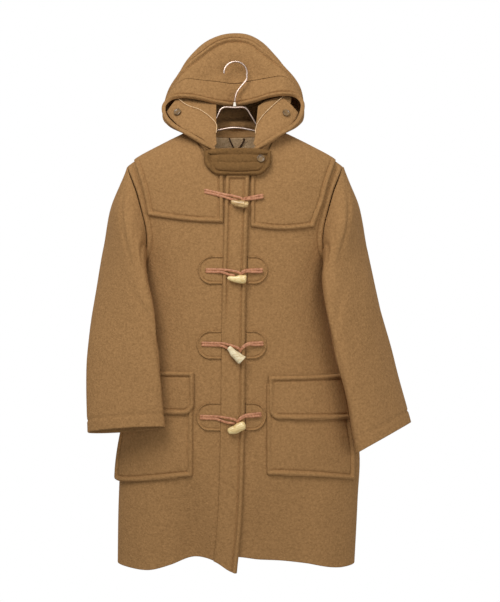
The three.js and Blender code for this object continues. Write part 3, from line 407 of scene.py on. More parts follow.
# Shares of the button's radius and height, from its middle below to its middle above
BUTTON_PROFILE = [
    (0, 0), (0.7, 0), (0.93, 0.2), (1, 0.5), (0.97, 0.8), (0.88, 0.98), (0.76, 0.96), (0.66, 0.74),
    (0.5, 0.66), (0, 0.64),
]
TIP = 0.01
KNOT_PROFILE = [(TIP, -0.3), (0.8, 0), (0.6, 0.4), (TIP, 0.55)]
KNOT_REACH = 1.8
KNOT_SEAT = 0.66
THROAT_BUTTON = (56.0, -221.0)
THROAT_BUTTON_FACES = (0.14, -1, 0.1)
FACING_HALF_WIDTH = 68.0
FACING_DROP = 58.0
FACING_ROUNDING = 0.96
FACING_BEHIND = CLOTH + 2.4 + LINING
LOOP_RADIUS = 1.6
LOOP_CLEARANCE = 0.6
LOOP_TWIST = 0.12
LOOP_ROUTE = [(-14, -159), (-10, -168), (-3, -181), (3, -184), (9, -180), (18, -167), (20, -160)]

# Hanger
WIRE_RADIUS = 1.9
WIRE_PLATING = 0.3
HOOK_RADIUS = 25.5
HOOK_MIDDLE_X = 1.0
HOOK_ANGLES = (184.0, -12.0)
HOOK_TAIL = [(25.5, -37), (16.5, -49), (5, -64), (0, -80), (-0.6, -87.5)]
FRAME_ROUTE = [
    (-57, -149), (-52, -141), (-38, -115.5), (-32, -104), (-25, -99.2), (0, -99.2), (20, -99.2),
    (27, -104), (34, -115), (50, -141), (56, -149.5),
]
ARM_MIDDLE = [(0, -143.5), (46, -151), (80, -160)]
ARM_SEATS = (115, 145, 175, 205, 216)
ARM_BELOW_RIDGE = CLOTH + 3.1

# Camera and room
CAMERA_AT = (0.033, -2.5, -0.5247)
CAMERA_VIEW_HEIGHT = 1.3244
CAMERA_SENSOR = 36.0
ROOM_EDGES = (0.1, 0.6)
ROOM_COLOR = (0.33, 0.325, 0.31)
WHITE = (1, 1, 1)
LIGHTS = {
    "key": {"at": (-0.7, -1.8, 1.35), "aim_at": (0, 0, -0.35), "size": 1.7, "power": 48},
    "fill": {"at": (1.1, -2.5, -0.4), "aim_at": (0, 0, -0.5), "size": 1.6, "power": 20},
}


# Number helpers

def rows_of(columns):
    """Each row of a table as a dictionary."""
    return [dict(zip(columns, row)) for row in zip(*columns.values())]


def value_at(rows, key, by, place):
    """A table's column at each place, by a smooth curve through the rows."""
    order = np.argsort(rows[by])
    xs, ys = rows[by][order], rows[key][order]
    place = np.asarray(place, float)
    i = np.searchsorted(xs[1:-1], place, side="left")
    last = len(xs) - 1
    before, after = np.maximum(i - 1, 0), np.minimum(i + 2, last)
    span = xs[i + 1] - xs[i]
    own = (ys[i + 1] - ys[i]) / span
    start = np.where(i == before, own, (ys[i + 1] - ys[before]) / (xs[i + 1] - xs[before]))
    end = np.where(i + 1 == after, own, (ys[after] - ys[i]) / (xs[after] - xs[i]))
    t = np.clip((place - xs[i]) / span, 0, 1)
    t2, t3 = t * t, t * t * t
    return (
        (2 * t3 - 3 * t2 + 1) * ys[i]
        + (t3 - 2 * t2 + t) * span * start
        + (3 * t2 - 2 * t3) * ys[i + 1]
        + (t3 - t2) * span * end
    )


def smooth(t):
    c = np.clip(t, 0, 1)
    return c * c * (3 - 2 * c)


def lerp(a, b, t):
    return a + (b - a) * t


def curve(points, places):
    """Centripetal curve through points, along their first axis, at places from 0 to 1."""
    points = np.asarray(points, float)
    last = len(points) - 1
    out = []
    for t in np.atleast_1d(places):
        i = min(int(t * last), last - 1)
        w = t * last - i
        p1, p2 = points[i], points[i + 1]
        p0 = points[i - 1] if i > 0 else 2 * p1 - p2
        p3 = points[i + 2] if i + 2 <= last else 2 * p2 - p1
        d0, d1, d2 = (
            np.maximum(np.linalg.norm(b - a, axis=-1, keepdims=True), 1e-6) ** 0.5
            for a, b in ((p0, p1), (p1, p2), (p2, p3))
        )
        m1 = ((p1 - p0) / d0 - (p2 - p0) / (d0 + d1) + (p2 - p1) / d1) * d1
        m2 = ((p2 - p1) / d1 - (p3 - p1) / (d1 + d2) + (p3 - p2) / d2) * d1
        c2 = 3 * (p2 - p1) - 2 * m1 - m2
        c3 = 2 * (p1 - p2) + m1 + m2
        out.append(p1 + w * (m1 + w * (c2 + w * c3)))
    return np.array(out)


def graded(length, step=GRID, start=True, end=True):
    """Places from 0 to 1 along a length, close together by the ends that are stitched."""
    steps = [s for s in EDGE_STEPS if s < length / 2]
    low = steps if start else [0]
    high = [length - s for s in reversed(steps)] if end else [length]
    count = max(int((high[0] - low[-1]) / step), 1)
    middle = np.linspace(low[-1], high[0], count + 1)[1:-1]
    return np.concatenate([low, middle, high]) / length


# Body surface

def ridge(x):
    run = np.hypot(x, NECK_ROUNDING) - math.hypot(NECK_X, NECK_ROUNDING)
    droop = DROOP_RATE * np.maximum(np.abs(x) - DROOP_FROM, 0) ** 2
    return SHOULDER_Z - SHOULDER_SLOPE * run - droop


def half_width(x, z):
    left = value_at(BODY, "left", "z", z)
    right = value_at(BODY, "right", "z", z)
    return np.where(np.asarray(x) < 0, left, right)


def fold_depth(folds, x, z):
    depth = 0
    for f in rows_of(folds):
        down = smooth((z - f["top"]) / (f["bottom"] - f["top"]))
        depth = depth + f["depth"] * down * np.exp(-(((x - f["x"]) / f["width"]) ** 2))
    return depth


def crease_depth(creases, x, z):
    depth = 0
    for c in rows_of(creases):
        off = (x - c["x"] - c["lean"] * (z - c["z"])) / (c["width"] * math.hypot(1, c["lean"]))
        depth = depth + c["depth"] * np.exp(-(off**2) - ((z - c["z"]) / c["length"]) ** 2)
    return depth


def waviness(x, z):
    """Slow unevenness of heavy cloth, about a millimetre either way."""
    a = np.sin(x / 31 + 1.3 * np.sin(z / 97)) * np.sin(z / 43 + 0.7)
    b = np.sin(x / 17 - z / 61 + 2.1) * np.sin(z / 29 + x / 83)
    return 0.8 * a + 0.45 * b


def body_point(x, z, side):
    """A point of the body's outer face: side is -1 for the front and 1 for the back."""
    x, z = np.broadcast_arrays(np.asarray(x, float), np.asarray(z, float))
    across = np.minimum(np.abs(x) / half_width(x, z), 1)
    swell = (1 - across**SECTION_POWER) ** (1 / SECTION_POWER)
    below = np.maximum(ridge(x) - z, 0)
    fill = np.sqrt(below / (below + SHOULDER_ROUNDING))
    depth = value_at(BODY, "front" if side < 0 else "back", "z", z)
    seam = value_at(BODY, "seam", "z", z)
    folds = FRONT_FOLDS if side < 0 else BACK_FOLDS
    creases = FRONT_CREASES if side < 0 else BACK_CREASES
    inward = fold_depth(folds, x, z) + fill * (crease_depth(creases, x, z) + waviness(x, z))
    y = seam * (1 - swell) + side * (depth * swell * fill - inward * swell)
    return np.stack([x, y, z], -1)


def underlap(x):
    return FIRST_LAYER * (1 - smooth((x - UNDERLAP_FROM) / UNDERLAP_OVER))


def right_point(x, z):
    p = body_point(x, z, -1)
    p[..., 1] += underlap(np.asarray(x, float))
    return p


def front_point(x, z, sign):
    return body_point(x, z, -1) if sign < 0 else right_point(x, z)


def back_point(x, z):
    p = body_point(x, z, 1)
    p[..., 1] = np.maximum(p[..., 1], 0) + 2 * LAYER_GAP
    return p


def panel_side(x, z):
    """Outer edge of a panel: the armhole seam above, the side seam below."""
    seam = value_at(ARMHOLE, "x", "z", np.clip(z, UNDERARM_Z, ARMHOLE["z"].max()))
    return np.where(z > UNDERARM_Z, seam, half_width(x, z))


def neck_or_ridge(neck, x):
    out = np.abs(x)
    return np.where(out < NECK_X, value_at(neck, "z", "x", out), ridge(x))


def rows_down(height, fine, step=GRID):
    full = math.sqrt(ROUNDED_DEPTH / (ROUNDED_DEPTH + SHOULDER_ROUNDING))
    t = full * np.linspace(0, 1, fine)
    rounded = SHOULDER_ROUNDING * t**2 / (1 - t**2) / height
    rest = lerp(ROUNDED_DEPTH / height, 1, graded(height - ROUNDED_DEPTH, step, start=False))
    return np.concatenate([rounded, rest[1:]])


# Cloth walls

def normals(grid, ring):
    along = np.roll(grid, -1, 1) - np.roll(grid, 1, 1) if ring else np.gradient(grid, axis=1)
    down = np.gradient(grid, axis=0)
    n = np.cross(along, down)
    return n / np.maximum(np.linalg.norm(n, axis=-1, keepdims=True), 1e-9)


def border(grid, side):
    return {
        "top": grid[0],
        "bottom": grid[-1],
        "start": grid[:, 0],
        "end": grid[:, -1],
    }[side]


def distance_to(grid, sides):
    """Distance from each point of the grid to the nearest point of the named sides."""
    if not sides:
        return np.full(grid.shape[:2], 1e3)
    points = np.concatenate([border(grid, side) for side in sides])
    rows = [np.linalg.norm(row[:, None] - points[None], axis=-1).min(1) for row in grid]
    return np.array(rows)


def stitched_relief(distance, stitch, strength=1.0):
    """Height of a turned edge: a soft roll, then the groove that the stitching pulls in."""
    across = np.clip(distance / stitch, 0, 1)
    roll = RIDGE_HEIGHT * (1 - np.abs(2 * across - 1) ** RIDGE_POWER)
    groove = GROOVE_DEPTH * np.exp(-(((distance - stitch) / GROOVE_WIDTH) ** 2))
    return strength * (roll - groove)


def grid_faces(rows, columns, ring=True):
    """Quads between rows of points, closed round for a ring."""
    spans = columns if ring else columns - 1
    r, i = np.meshgrid(np.arange(rows - 1), np.arange(spans), indexing="ij")
    nxt = (i + 1) % columns
    a, b = r * columns + i, r * columns + nxt
    return np.stack([a, b, b + columns, a + columns], -1).reshape(-1, 4)


def wall_faces(rows, columns, ring):
    """Quads of a closed wall: an outer grid, then an inner one."""
    spans = columns if ring else columns - 1
    shift = rows * columns
    outer = grid_faces(rows, columns, ring)
    faces = [outer, outer[:, ::-1] + shift]
    i = np.arange(spans)
    nxt = (i + 1) % columns
    low = (rows - 1) * columns
    faces.append(np.stack([nxt, i, shift + i, shift + nxt], -1))
    faces.append(np.stack([low + i, low + nxt, shift + low + nxt, shift + low + i], -1))
    if not ring:
        left = np.arange(rows - 1) * columns
        right = left + columns - 1
        faces.append(np.stack([left, left + columns, shift + left + columns, shift + left], -1))
        faces.append(np.stack([right + columns, right, shift + right, shift + right + columns], -1))
    return np.concatenate(faces)


def new_object(name, points, faces, material):
    """A smooth mesh object from points in millimetres and quads, its faces turned outwards."""
    a, b, c, d = (points[faces[:, k]] for k in range(4))
    volume = np.einsum("ij,ij->i", a, np.cross(b, c) + np.cross(c, d)).sum()
    if volume < 0:
        faces = faces[:, ::-1]
    mesh = bpy.data.meshes.new(name)
    mesh.vertices.add(len(points))
    mesh.vertices.foreach_set("co", (points * MM).ravel())
    mesh.loops.add(faces.size)
    mesh.loops.foreach_set("vertex_index", np.ascontiguousarray(faces).ravel())
    mesh.polygons.add(len(faces))
    mesh.polygons.foreach_set("loop_start", np.arange(0, faces.size, 4))
    mesh.polygons.foreach_set("use_smooth", np.ones(len(faces), bool))
    mesh.update(calc_edges=True)
    mesh.materials.append(MATERIALS[material])
    piece = bpy.data.objects.new(name, mesh)
    bpy.context.scene.collection.objects.link(piece)
    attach(piece, "root")
    return piece


def cloth(name, surface, us, vs, rests_on, out=0.0, thick=CLOTH, turned=False, ring=False,
          stitched=(), stitch=STITCH, strength=1.0, relief=None, material="camel_wool", held="hung",
          to_shoulder=False):
    """A cloth piece: a wall over the surface from out to out + thick."""
    u, v = np.meshgrid(us[:-1] if ring else us, vs)
    grid = surface(u, v)
    n = normals(grid, ring) * (-1 if turned else 1)
    sides = ("top", "bottom") if ring else ("top", "bottom", "start", "end")
    near = np.clip(distance_to(grid, sides) / EDGE_RADIUS, 0, 1)
    round_part = np.maximum(np.sqrt(1 - (1 - near) ** 2), LEAST_ROUNDING)
    high = out + thick * (0.5 + 0.5 * round_part)
    if stitched:
        edges = stitched_relief(distance_to(grid, stitched), stitch, strength) * round_part
        if to_shoulder:
            edges = edges * smooth((ridge(grid[..., 0]) - grid[..., 2]) / SHOULDER_FADE)
        high = high + edges
    if relief is not None:
        high = high + relief(u, v, grid) * round_part
    low = out + thick * (0.5 - 0.5 * round_part)
    points = np.concatenate([grid + n * high[..., None], grid + n * low[..., None]])
    faces = wall_faces(len(vs), grid.shape[1], ring)
    piece = new_object(name + "_cloth", points.reshape(-1, 3), faces, material)
    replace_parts(piece, name)
    return piece


# Materials

def principled(name, color, roughness, **inputs):
    """A material whose even values sit on the shader's own sockets."""
    material = bpy.data.materials.new(name)
    material.use_nodes = True
    shader = material.node_tree.nodes["Principled BSDF"]
    shader.inputs["Base Color"].default_value = (*color, 1)
    shader.inputs["Roughness"].default_value = roughness
    for key, value in inputs.items():
        shader.inputs[key.replace("_", " ")].default_value = value
    return material


def add_node(material, kind, **values):
    node = material.node_tree.nodes.new(kind)
    for key, value in values.items():
        if key in node.inputs:
            node.inputs[key].default_value = value
        else:
            setattr(node, key, value)
    return node


def linear(red, green, blue):
    """A screen colour from 0 to 255 as linear values."""
    return tuple(((c / 255 + 0.055) / 1.055) ** 2.4 for c in (red, green, blue))


def two_tones(ramp, places, low, high):
    """Sets the two stops of a colour ramp."""
    for stop, place, color in zip(ramp.color_ramp.elements, places, (low, high)):
        stop.position = place
        stop.color = (*color, 1)


def mottled(material, dark, light, scale, detail=6.0, spread=(0.3, 0.7), distortion=0.0,
            stretch=(1, 1, 1), rough=0.5):
    """Colour that wanders between two tones, from noise in the object's own space."""
    tree = material.node_tree
    place = add_node(material, "ShaderNodeTexCoord")
    mapping = add_node(material, "ShaderNodeMapping", Scale=stretch)
    noise = add_node(material, "ShaderNodeTexNoise", Scale=scale, Detail=detail, Roughness=rough,
                     Distortion=distortion)
    ramp = add_node(material, "ShaderNodeValToRGB")
    two_tones(ramp, spread, dark, light)
    tree.links.new(place.outputs["Object"], mapping.inputs["Vector"])
    tree.links.new(mapping.outputs["Vector"], noise.inputs["Vector"])
    tree.links.new(noise.outputs["Fac"], ramp.inputs["Fac"])
    tree.links.new(ramp.outputs["Color"], tree.nodes["Principled BSDF"].inputs["Base Color"])


def rough_surface(material, layers):
    """Bumps stacked from (scale, detail, distance in metres, strength)."""
    tree = material.node_tree
    place = add_node(material, "ShaderNodeTexCoord")
    previous = None
    for scale, detail, distance, strength in layers:
        noise = add_node(material, "ShaderNodeTexNoise", Scale=scale, Detail=detail)
        bump = add_node(material, "ShaderNodeBump", Distance=distance, Strength=strength)
        tree.links.new(place.outputs["Object"], noise.inputs["Vector"])
        tree.links.new(noise.outputs["Fac"], bump.inputs["Height"])
        if previous:
            tree.links.new(previous.outputs["Normal"], bump.inputs["Normal"])
        previous = bump
    tree.links.new(previous.outputs["Normal"], tree.nodes["Principled BSDF"].inputs["Normal"])


def wool(name, dark, light):
    material = principled(name, light, 0.96, Sheen_Weight=0.2, Sheen_Roughness=0.5)
    shader = material.node_tree.nodes["Principled BSDF"]
    shader.inputs["Sheen Tint"].default_value = (*light, 1)
    shader.inputs["Specular IOR Level"].default_value = 0.1
    mottled(material, dark, light, 190, 8, (0.27, 0.73), rough=0.75)
    rough_surface(material, [(70, 4, 0.002, 0.3), (250, 5, 0.002, 0.8), (900, 4, 0.0008, 0.7)])
    return material


def horn(name, dark, light):
    material = principled(name, light, 0.34, Coat_Weight=0.25)
    mottled(material, dark, light, 55, 6, (0.3, 0.62), 1.6, (1, 3, 3))
    return material


def make_materials():
    made = {
        "camel_wool": wool("camel_wool", linear(134, 100, 62), linear(178, 136, 90)),
        # A darker copy of the camel wool for the throat flap: painted shade for where the hood's lips
        # overhang it
        "painted_shade_wool": wool("painted_shade_wool", linear(102, 74, 42), linear(136, 101, 61)),
        # Pale facing cloth, partly its own lighter tone and partly painted light: lightened further to
        # lift the shade it sits in
        "facing_cloth": wool("facing_cloth", linear(176, 136, 92), linear(242, 210, 168)),
        "leather": principled("leather", linear(190, 118, 84), 0.5),
        "horn_brown": horn("horn_brown", linear(136, 98, 54), linear(214, 180, 124)),
        "horn_yellow": horn("horn_yellow", linear(206, 168, 100), linear(240, 216, 158)),
        "horn_pale": horn("horn_pale", linear(206, 182, 136), linear(242, 228, 192)),
        "dark_horn": principled("dark_horn", linear(112, 86, 54), 0.35, Coat_Weight=0.2),
        "braid": principled("braid", linear(78, 50, 30), 0.85),
        "hanger_steel": principled("hanger_steel", linear(206, 184, 170), 0.36, Metallic=1.0),
        "white_collar": principled("white_collar", linear(240, 232, 218), 0.45),
        "thread": principled("thread", linear(150, 112, 70), 0.8),
    }
    mottled(made["leather"], linear(150, 92, 60), linear(206, 144, 104), 240, 8)
    rough_surface(made["leather"], [(900, 6, 0.0003, 0.4)])
    mottled(made["dark_horn"], linear(84, 60, 36), linear(140, 112, 74), 90, 5, (0.3, 0.7), 1.2)
    mottled(made["braid"], linear(52, 32, 18), linear(96, 64, 40), 900, 3)
    rough_surface(made["braid"], [(1400, 2, 0.0005, 0.8)])
    mottled(made["hanger_steel"], linear(190, 164, 148), linear(220, 200, 188), 30, 3)
    mottled(made["white_collar"], linear(232, 222, 206), linear(246, 240, 228), 120, 4)
    return made


MATERIALS = make_materials()


# Body pieces

def armhole_only(*sides):
    """Relief that takes the armhole's stitched ridge away again below the underarm."""
    def relief(u, v, grid):
        below = smooth((UNDERARM_Z + ARMHOLE_FADE_ABOVE - grid[..., 2]) / ARMHOLE_FADE_OVER)
        return -stitched_relief(distance_to(grid, sides), ARMHOLE_STITCH) * below

    return relief


def front(side_name):
    sign = SIDES[side_name]

    def edge(z):
        return value_at(FRONT_EDGE, "x", "z", z) if sign < 0 else np.full_like(z, UNDERLAP_X)

    def surface(u, v):
        top_edge = float(edge(np.array([FRONT_NECK["z"][0]]))[0])
        top = neck_or_ridge(FRONT_NECK, lerp(top_edge, sign * SHOULDER_TIP_X, u)) - RIDGE_CLEARANCE
        hem = value_at(HEM, "z", "x", lerp(FRONT_HEM_FROM[side_name], sign * HEM_SIDE_X, u))
        z = lerp(top, hem, v)
        x = lerp(edge(z), sign * panel_side(np.full_like(z, sign), z), u)
        return front_point(x, z, sign)

    cloth("front_" + side_name, surface, graded(230), rows_down(880, 22), ["hanger_arms", "back"],
          out=-CLOTH, turned=sign > 0, stitched=("end",), stitch=ARMHOLE_STITCH,
          relief=armhole_only("end"), to_shoulder=True)


def back():
    def surface(u, v):
        x_top = (2 * u - 1) * SHOULDER_TIP_X
        z = lerp(neck_or_ridge(BACK_NECK, x_top) - RIDGE_CLEARANCE, HEM_Z, v)
        side = np.sign(2 * u - 1)
        x = (2 * u - 1) * panel_side(side, z)
        return back_point(x, z)

    cloth("back", surface, graded(474), rows_down(880, 22), ["hanger_arms"], out=-CLOTH,
          stitched=("start", "end"), stitch=ARMHOLE_STITCH, relief=armhole_only("start", "end"),
          to_shoulder=True)


def sleeve(side_name):
    sign = SIDES[side_name]
    sections = rows_of(SLEEVES[side_name])

    def surface(u, v):
        angle = u[0] * 2 * math.pi
        middle = (ARMHOLE["z"].max() + UNDERARM_Z) / 2
        reach = (ARMHOLE["z"].max() - UNDERARM_Z) / 2
        z = middle + reach * np.cos(angle)
        x = sign * value_at(ARMHOLE, "x", "z", z)
        start = np.where((u[0] < 0.5)[:, None], body_point(x, z, -1), body_point(x, z, 1))
        start[:, 0] += sign * ARMHOLE_GAP
        route = [start]
        for s in sections:
            facing = math.radians(s["turn"])
            along = s["wide"] * np.sin(angle)
            out = s["thick"] * np.cos(angle)
            dx = -math.cos(facing) * along + math.sin(facing) * out
            dy = -math.sin(facing) * along - math.cos(facing) * out
            z = s["z"] + s["rise"] * dx + (CUFF_TILT * np.cos(angle) if s is sections[-1] else 0)
            route.append(np.stack([sign * (s["x"] + dx), s["y"] + dy, z], -1))
        return curve(np.array(route), v[:, 0])

    def relief(u, v, grid):
        depth = 0
        for c in rows_of(SLEEVE_CREASES):
            off = (u - c["turn"] - c["lean"] * (v - c["down"]) + 0.5) % 1 - 0.5
            across = (off / c["width"]) ** 2
            depth = depth + c["depth"] * np.exp(-across - ((v - c["down"]) / c["length"]) ** 2)
        slow = waviness(grid[..., 1] * 2 + grid[..., 0], grid[..., 2])
        cuff = distance_to(grid, ("bottom",))
        groove = np.exp(-(((cuff - CUFF_STITCH) / CUFF_GROOVE_WIDTH) ** 2))
        hem = GROOVE_DEPTH * CUFF_GROOVE_SHARE * groove
        return slow - depth * smooth(v * SLEEVE_CREASE_START) - hem

    cloth("sleeve_" + side_name, surface, np.linspace(0, 1, SLEEVE_SPANS + 1), graded(640),
          ["front_" + side_name, "back"], out=-CLOTH, turned=sign < 0, ring=True, relief=relief)


# Yoke, placket and patches

def yoke_top(neck, x):
    """Upper edge of the yoke, set back from the neck, then along the shoulder's ridge."""
    out = np.abs(x) - YOKE_SETBACK
    low = value_at(neck, "z", "x", np.maximum(out, 0)) - YOKE_NECK_DROP
    return np.minimum(np.where(out < NECK_X, low, ridge(x)), ridge(x)) - RIDGE_CLEARANCE


def yoke_side(z):
    return value_at(YOKE_SIDE, "x", "z", np.minimum(z, YOKE_SIDE["z"].max()))


def yoke(name, surface, width, length, rests_on, turned=False):
    cloth(name, surface, graded(width, FINE_GRID), rows_down(length, 20, FINE_GRID), rests_on,
          out=YOKE_GAP, turned=turned, stitched=("start", "end", "bottom"), held="laid",
          to_shoulder=True)


def yoke_front(side_name):
    sign = SIDES[side_name]
    edge = YOKE_EDGE_X[side_name]
    bottom = YOKE_BOTTOM[side_name]

    def surface(u, v):
        top = yoke_top(FRONT_NECK, lerp(edge, sign * YOKE_SIDE["x"].max(), u))
        low = lerp(bottom["inner"], bottom["outer"], u) - bottom["sag"] * np.sin(math.pi * u)
        z = lerp(top, low, v)
        inset = YOKE_TRIM[side_name] * smooth((YOKE_TRIM_FROM - z) / YOKE_TRIM_OVER)
        return front_point(lerp(edge, sign * (yoke_side(z) - inset), u), z, sign)

    yoke("yoke_front_" + side_name, surface, 200, 205, ["front_left", "front_right"], sign > 0)


def yoke_back():
    def surface(u, v):
        top = yoke_top(BACK_NECK, (2 * u - 1) * YOKE_SIDE["x"].max())
        z = lerp(top, YOKE_BACK_BOTTOM, v)
        return back_point((2 * u - 1) * yoke_side(z), z)

    yoke("yoke_back", surface, 444, 220, ["back"])


def placket():
    def surface(u, v):
        hem = value_at(HEM, "z", "x", PLACKET_HEM_X - PLACKET_WIDTH * (1 - u))
        z = lerp(PLACKET_TOP_Z, hem, v)
        lap = value_at(FRONT_EDGE, "x", "z", z)
        p = body_point(lap - PLACKET_INSET - PLACKET_WIDTH * (1 - u), z, -1)
        for place, length, lift in PLACKET_LIFTS:
            p[..., 1] -= lift * u**4 * np.exp(-(((z - place) / length) ** 2))
        return p

    def relief(u, v, grid):
        low = smooth((PLACKET_ROLL_ENDS - grid[..., 2]) / PLACKET_ROLL_FADE)
        return -low * LOST_ROLL * stitched_relief(distance_to(grid, ("start",)), STITCH)

    cloth("placket", surface, graded(PLACKET_WIDTH, 3), graded(840), ["front_left"], out=LAYER_GAP,
          turned=True, stitched=("start", "top", "end"), relief=relief, held="laid")


def patch(side_name, number, fastening):
    sign = SIDES[side_name]
    reach = PATCH_REACH[side_name]
    gap = PATCH_GAP[side_name]
    middle = fastening["z"] + PATCH_RISE

    def surface(u, v):
        z = middle + PATCH_HEIGHT * (0.5 - v)
        lap = value_at(FRONT_EDGE, "x", "z", z)
        edge = lap - PLACKET_WIDTH - gap if sign < 0 else lap + gap
        round_part = np.sqrt(np.maximum(1 - (2 * v - 1) ** 2, 0))
        end = reach - PATCH_HEIGHT / 2 * (1 - round_part)
        return front_point(edge + sign * end * u, z, sign)

    places = 0.5 - 0.5 * np.cos(np.linspace(0, 1, PATCH_ROWS) * math.pi)
    cloth(f"patch_{side_name}_{number}", surface, graded(reach, 2), places, ["front_" + side_name],
          out=LAYER_GAP, thick=PATCH_CLOTH, turned=sign > 0, stitched=("top", "end", "bottom"),
          stitch=PATCH_STITCH, strength=PATCH_STRENGTH, held="laid")


# Pockets

def pocket_fullness(side_name, x, z):
    """How far a pocket stands out: forwards over its middle, and sideways by the side seam."""
    p = POCKETS[side_name]
    across = np.clip((x - p["inner"]) / (p["outer"] * half_width(x, z) - p["inner"]), 0, 1)
    down = np.clip((p["top"] - z) / (p["top"] - p["low"][1]), 0, 1)
    belly = np.sin(math.pi * lerp(POCKET_MOUTH_FULLNESS, 1, down))
    forwards = POCKET_FULLNESS * np.sin(math.pi * across) * belly
    return forwards, POCKET_SPREAD[side_name] * across**3 * smooth(down) * np.sign(x)


def pocket_layer(name, side_name, part, us, vs, **options):
    sign = SIDES[side_name]

    def surface(u, v):
        end = lerp(*part["low"], smooth(u)) - part["sag"] * np.sin(math.pi * u)
        z = lerp(part["top"], end, v)
        rise = np.clip((z - end) / part["corner"], 0, 1)
        trim = sign * part["corner"] * (1 - np.sqrt(1 - (1 - rise) ** 2))
        outer = part["outer"] * half_width(np.full_like(z, sign), z) - trim * POCKET_OUTER_CORNER
        x = lerp(part["inner"] + trim, outer, np.sin(u * math.pi / 2) ** POCKET_EDGE_POWER)
        p = front_point(x, z, sign)
        forwards, sideways = pocket_fullness(side_name, x, z)
        p[..., 1] -= forwards
        p[..., 0] += sideways
        return p

    cloth(name, surface, us, vs, ["front_" + side_name], turned=sign > 0, held="laid", **options)


def pockets():
    for side_name in SIDES:
        pocket_layer("pocket_" + side_name, side_name, POCKETS[side_name], graded(190, FINE_GRID),
                     graded(215, FINE_GRID), out=LAYER_GAP, stitched=("start", "end", "bottom"),
                     stitch=POCKET_STITCH)
        pocket_layer("pocket_flap_" + side_name, side_name, FLAPS[side_name],
                     graded(180, FINE_GRID), graded(92, 3), out=FIRST_LAYER + LAYER_GAP,
                     stitched=("top", "start", "end", "bottom"), stitch=POCKET_STITCH)


# Hood

def hood_warp(p, sign):
    x, y, z = p
    if sign < 0:
        return np.array([x, y, z], float)
    rise = HOOD_RIGHT_RISE * smooth(-x / HOOD_RISE_OVER) if z > HOOD_RISE_ABOVE else 0
    return np.array([-x * value_at(HOOD_RIGHT_WIDTH, "scale", "z", z), y, z + rise], float)


def hood_routes():
    def route(i, sign):
        x, side, lift = HOOD_NECK[i]
        neck_table = FRONT_NECK if side < 0 else BACK_NECK
        neck = body_point(sign * x, value_at(neck_table, "z", "x", x), side)
        neck[0] *= HOOD_NECK_SCALE
        neck[2] += lift - SEAM_OVERLAP
        return [*(hood_warp(p, sign) for p in HOOD_ROWS[i]), neck]

    last = len(HOOD_ROWS)
    left = [route(i, -1) for i in range(last)]
    right = [route(i, 1) for i in reversed(range(last - 1))]
    return np.array(left + right)


HOOD_ROUTES = hood_routes()


def hood_seam(line, u):
    """Place of a seam between the edge and the neck. The band widens towards the throat."""
    if line in (0, HOOD_PARTS):
        return np.full_like(u, line / HOOD_PARTS)
    return line / HOOD_PARTS + LIP_SHARE * smooth((np.abs(2 * u - 1) - LIP_FROM) / LIP_OVER)


def hood_surface(first, last):
    def surface(u, v):
        lines = curve(HOOD_ROUTES, u[0])
        low = hood_seam(first, u[0]) + (HOOD_SEAM_GAP if first else 0)
        high = hood_seam(last, u[0]) - (HOOD_SEAM_GAP if last < HOOD_PARTS else 0)
        columns = [curve(line, lerp(a, b, v[:, 0])) for line, a, b in zip(lines, low, high)]
        p = np.swapaxes(np.array(columns), 0, 1)
        for x, y, z, width, depth, height, push in HOOD_DENTS:
            near = ((p[..., 0] - x) / width) ** 2 + ((p[..., 1] - y) / depth) ** 2
            p[..., 1] += push * np.exp(-near - ((p[..., 2] - z) / height) ** 2)
        return p

    return surface


def hood_waves(u, v, grid):
    """Slow unevenness of the hood's cloth."""
    x, y, z = (grid[..., k] for k in range(3))
    return HOOD_WAVE_HEIGHT * waviness(x * HOOD_WAVE_RATE[0], z * HOOD_WAVE_RATE[1] + y)


def ruled(rows, bulge, tuck=0.0):
    def surface(u, v):
        a = curve([row[0] + np.asarray(tuck) for row in rows], u[0])[None]
        b = curve([row[1] for row in rows], u[0])[None]
        p = lerp(a, b, v[..., None])
        p[..., 1] -= bulge * np.sin(math.pi * v) * smooth(u * FACING_BULGE_START)
        return p

    return surface


def hood():
    for name, first, last, length, stitched, stitch, step, strength in HOOD_PIECES:
        cloth(name, hood_surface(first, last), graded(HOOD_GIRTH, FINE_GRID), graded(length, step),
              ["back"], out=-CLOTH, stitched=stitched, stitch=stitch, strength=strength,
              relief=hood_waves)
    for side_name, sign in SIDES.items():
        facing = ruled(FACINGS[side_name], FACING_BULGE, FACING_TUCK)
        cloth("hood_facing_" + side_name, facing, graded(190, 3), graded(56, 3), ["hood_band"],
              turned=sign > 0)
        fold = np.array([row[1] for row in FACINGS[side_name][1:]], float) + PIPING_OUT
        # Pale piping along the facing's fold: a cord of the facing cloth, whose pale tone is also a
        # painted highlight on the fold's lit edge
        tube("hood_piping_" + side_name, fold, PIPING_RADIUS, "facing_cloth", 60, 10)
        turn_in = ruled(TURN_INS[side_name], TURN_IN_CLOTH)
        cloth("hood_turn_in_" + side_name, turn_in, graded(50, 3), graded(46, 3),
              ["hood_facing_" + side_name], turned=sign > 0, thick=TURN_IN_CLOTH)
        u, v = np.meshgrid(HOOD_BUTTON["along"] + BUTTON_PROBE, HOOD_BUTTON["inward"] + BUTTON_PROBE)
        spot = facing(u, v)
        out = normals(spot, False)[1, 1] * sign
        seat = spot[1, 1] + out * HOOD_BUTTON["lift"]
        button("hood_button_" + side_name, seat, out)


# Throat and neck

